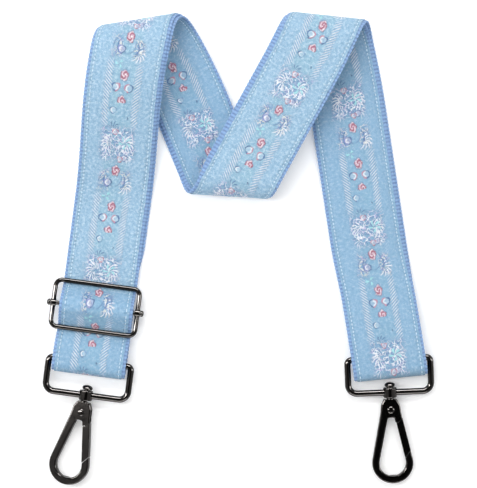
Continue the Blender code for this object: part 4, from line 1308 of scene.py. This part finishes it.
def seam_angle(line_radius, radius):
    """The angle about the rivet at which the seam crosses one line of the limb."""
    angle = math.radians(-50.0)
    for _ in range(30):
        y = radius * math.sin(angle) - PIVOT_AT
        angle = -math.acos(min(limb_x(line_radius, y) / radius, 1.0))
    return math.degrees(angle)


def gate(side, seat):
    radius = SEAM_RADIUS + GAP
    inner, outer = seam_angle(WINDOW_RADIUS, radius), seam_angle(HOOK_RADIUS, radius)
    top = arc(0.0, -PIVOT_AT, radius, inner, outer, 10)
    low_in, low_out = gate_ends(GAP * 1.75)
    piece = soften(plate([top + [low_out, low_in]], HOOK_THICKNESS), 0.0009, 4, 60.0)
    middle = math.radians((inner + outer) / 2)
    ahead = Vector((math.cos(middle), math.sin(middle)))
    aside = Vector((-ahead.y, ahead.x)) * TONGUE_REACH
    start = Vector((0.0, -PIVOT_AT))
    end = start + ahead * (radius + TONGUE_REACH)
    corners = (start + aside, start - aside, end - aside, end + aside)
    boolean(piece, plate([[tuple(corner) for corner in corners]], 2 * TONGUE_HALF), "UNION")
    pivot_eye(piece, TONGUE_EYE, TONGUE_HALF, "UNION")
    return fit(piece, "gate_bar_" + side, seat, "gate_" + side, "gate_" + side, angle=30.0)


# %% The rivet


def rivet(side, seat):
    face = HOOK_THICKNESS / 2 + GAP
    head = [(0.0, face + 0.0006), (0.0012, face + 0.00055), (0.0019, face + 0.0004)]
    head += [(0.0023, face + 0.0001), (0.0023, face), (0.00125, face)]
    piece = turned(head + [(radius, -spot) for radius, spot in reversed(head)], "Z")
    settle(piece, "rivet", Matrix.Translation((0, -PIVOT_AT, 0)))
    return fit(piece, "rivet_" + side, seat, "hook_" + side, "gate_rivet_" + side)


# %% The spring
SPRING_RADIUS, SPRING_WIRE = 0.0040, 0.0003


def spring(side, seat):
    line = arc(0.0, -PIVOT_AT, SPRING_RADIUS, 180.0, 276.0, 30)
    wire = bent_wire(line, SPRING_WIRE, closed=False)
    piece = fit(wire, "spring_wire_" + side, seat, None, "gate_spring_" + side, SPRING_FINISH)
    held = seat @ Vector((-SPRING_RADIUS, -PIVOT_AT, 0.0))
    pushed = seat @ Vector((0.0004, -PIVOT_AT - SPRING_RADIUS, 0.0))
    "hook_" + side
    "gate_" + side
    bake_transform(piece)
    return piece


# %% The stud


def stud(side, seat):
    foot = BOSS_HALF + STUD_GAP
    profile = [(0.0, foot + 0.0030), (0.0012, foot + 0.0029), (0.0023, foot + 0.0026)]
    profile += [(0.0032, foot + 0.0020), (0.0036, foot + 0.0012), (0.0034, foot + 0.0003)]
    profile += [(0.0031, foot), (STUD_RADIUS, foot), (STUD_RADIUS, -STUD_END), (0.0, -STUD_END)]
    piece = turned(profile, "Y")
    return fit(piece, "stud_" + side, seat, "hook_" + side, "swivel_stud_" + side)


# %% Small pieces of both hooks
for side, seat in (("left", LEFT_HOOK_SEAT), ("right", RIGHT_HOOK_SEAT)):
    gate(side, seat)
    rivet(side, seat)
    spring(side, seat)
    stud(side, seat)

# %% [markdown]
# ## Floor, light and camera
# The strap was photographed from straight above on white, in soft light from all round. A white
# room lights everything evenly, and two long lamps above the left and top edges give the cloth its
# shading. A dark card above the camera stands in for the photographer, and flat metal mirrors it,
# so that it looks nearly black. Four more lamps show only in reflections, and they draw the thin
# bright lines along the metal's edges. The camera hangs 1.1 m above, with a long lens.

# %% The floor and the room
add_plane = bpy.ops.mesh.primitive_plane_add
floor = settle(fresh(add_plane, size=6.0, location=(0.0, 0.0, -0.0004)), "floor")
paper = Finish("white_paper", roughness=0.9)
paper.feed("Base Color", (0.93, 0.93, 0.93, 1.0))
paper.feed("Emission Color", (1.0, 1.0, 1.0, 1.0))
paper.feed("Emission Strength", 0.15)
floor.data.materials.append(paper.material)

world = bpy.data.worlds.new("white_room")
bpy.context.scene.world = world
world.use_nodes = True
background = world.node_tree.nodes["Background"].inputs
background["Color"].default_value = (1.0, 1.0, 1.0, 1.0)
background["Strength"].default_value = 0.66
print("room light:", background["Strength"].default_value)

# %% The dark card and the lamps
card = settle(fresh(add_plane, size=1.25, location=(0.0, 0.0, 1.3)), "dark_card")
felt = Finish("black_felt", roughness=0.95)
felt.feed("Base Color", (0.008, 0.008, 0.008, 1.0))
card.data.materials.append(felt.material)
card.visible_diffuse = False

for name, spot, size, watts, unseen in (
    ("left_strip", (-0.62, 0.12, 1.0), (0.14, 1.2), 6.5, "visible_glossy"),
    ("top_strip", (0.1, 0.66, 1.0), (1.2, 0.14), 5.5, "visible_glossy"),
    ("left_gleam", (-0.9, 0.1, 0.85), (0.16, 1.2), 34.0, "visible_diffuse"),
    ("top_gleam", (0.05, 0.9, 0.75), (1.2, 0.24), 50.0, "visible_diffuse"),
    ("right_gleam", (1.0, 0.0, 0.45), (0.25, 1.2), 16.0, "visible_diffuse"),
    ("low_gleam", (0.0, -1.0, 0.40), (1.2, 0.25), 16.0, "visible_diffuse"),
):
    lamp = fresh(bpy.ops.object.light_add, type="AREA", location=spot)
    lamp.name = name
    lamp.data.shape = "RECTANGLE"
    lamp.data.size, lamp.data.size_y = size
    lamp.data.energy = watts
    lamp.rotation_euler = (-Vector(spot)).to_track_quat("-Z", "Y").to_euler()
    setattr(lamp, unseen, False)
    print(name, watts, "W")

# %% Camera
bpy.ops.object.camera_add(location=(0.0, 0.0036, 1.103), rotation=(0.0, 0.0, 0.0))
camera = bpy.context.object
camera.data.sensor_width = 36.0
camera.data.lens = 118.5
camera.data.clip_start, camera.data.clip_end = 0.1, 20.0
bpy.context.scene.camera = camera
bpy.context.scene.view_settings.view_transform = "Standard"
print("camera at", [round(v, 4) for v in camera.location])
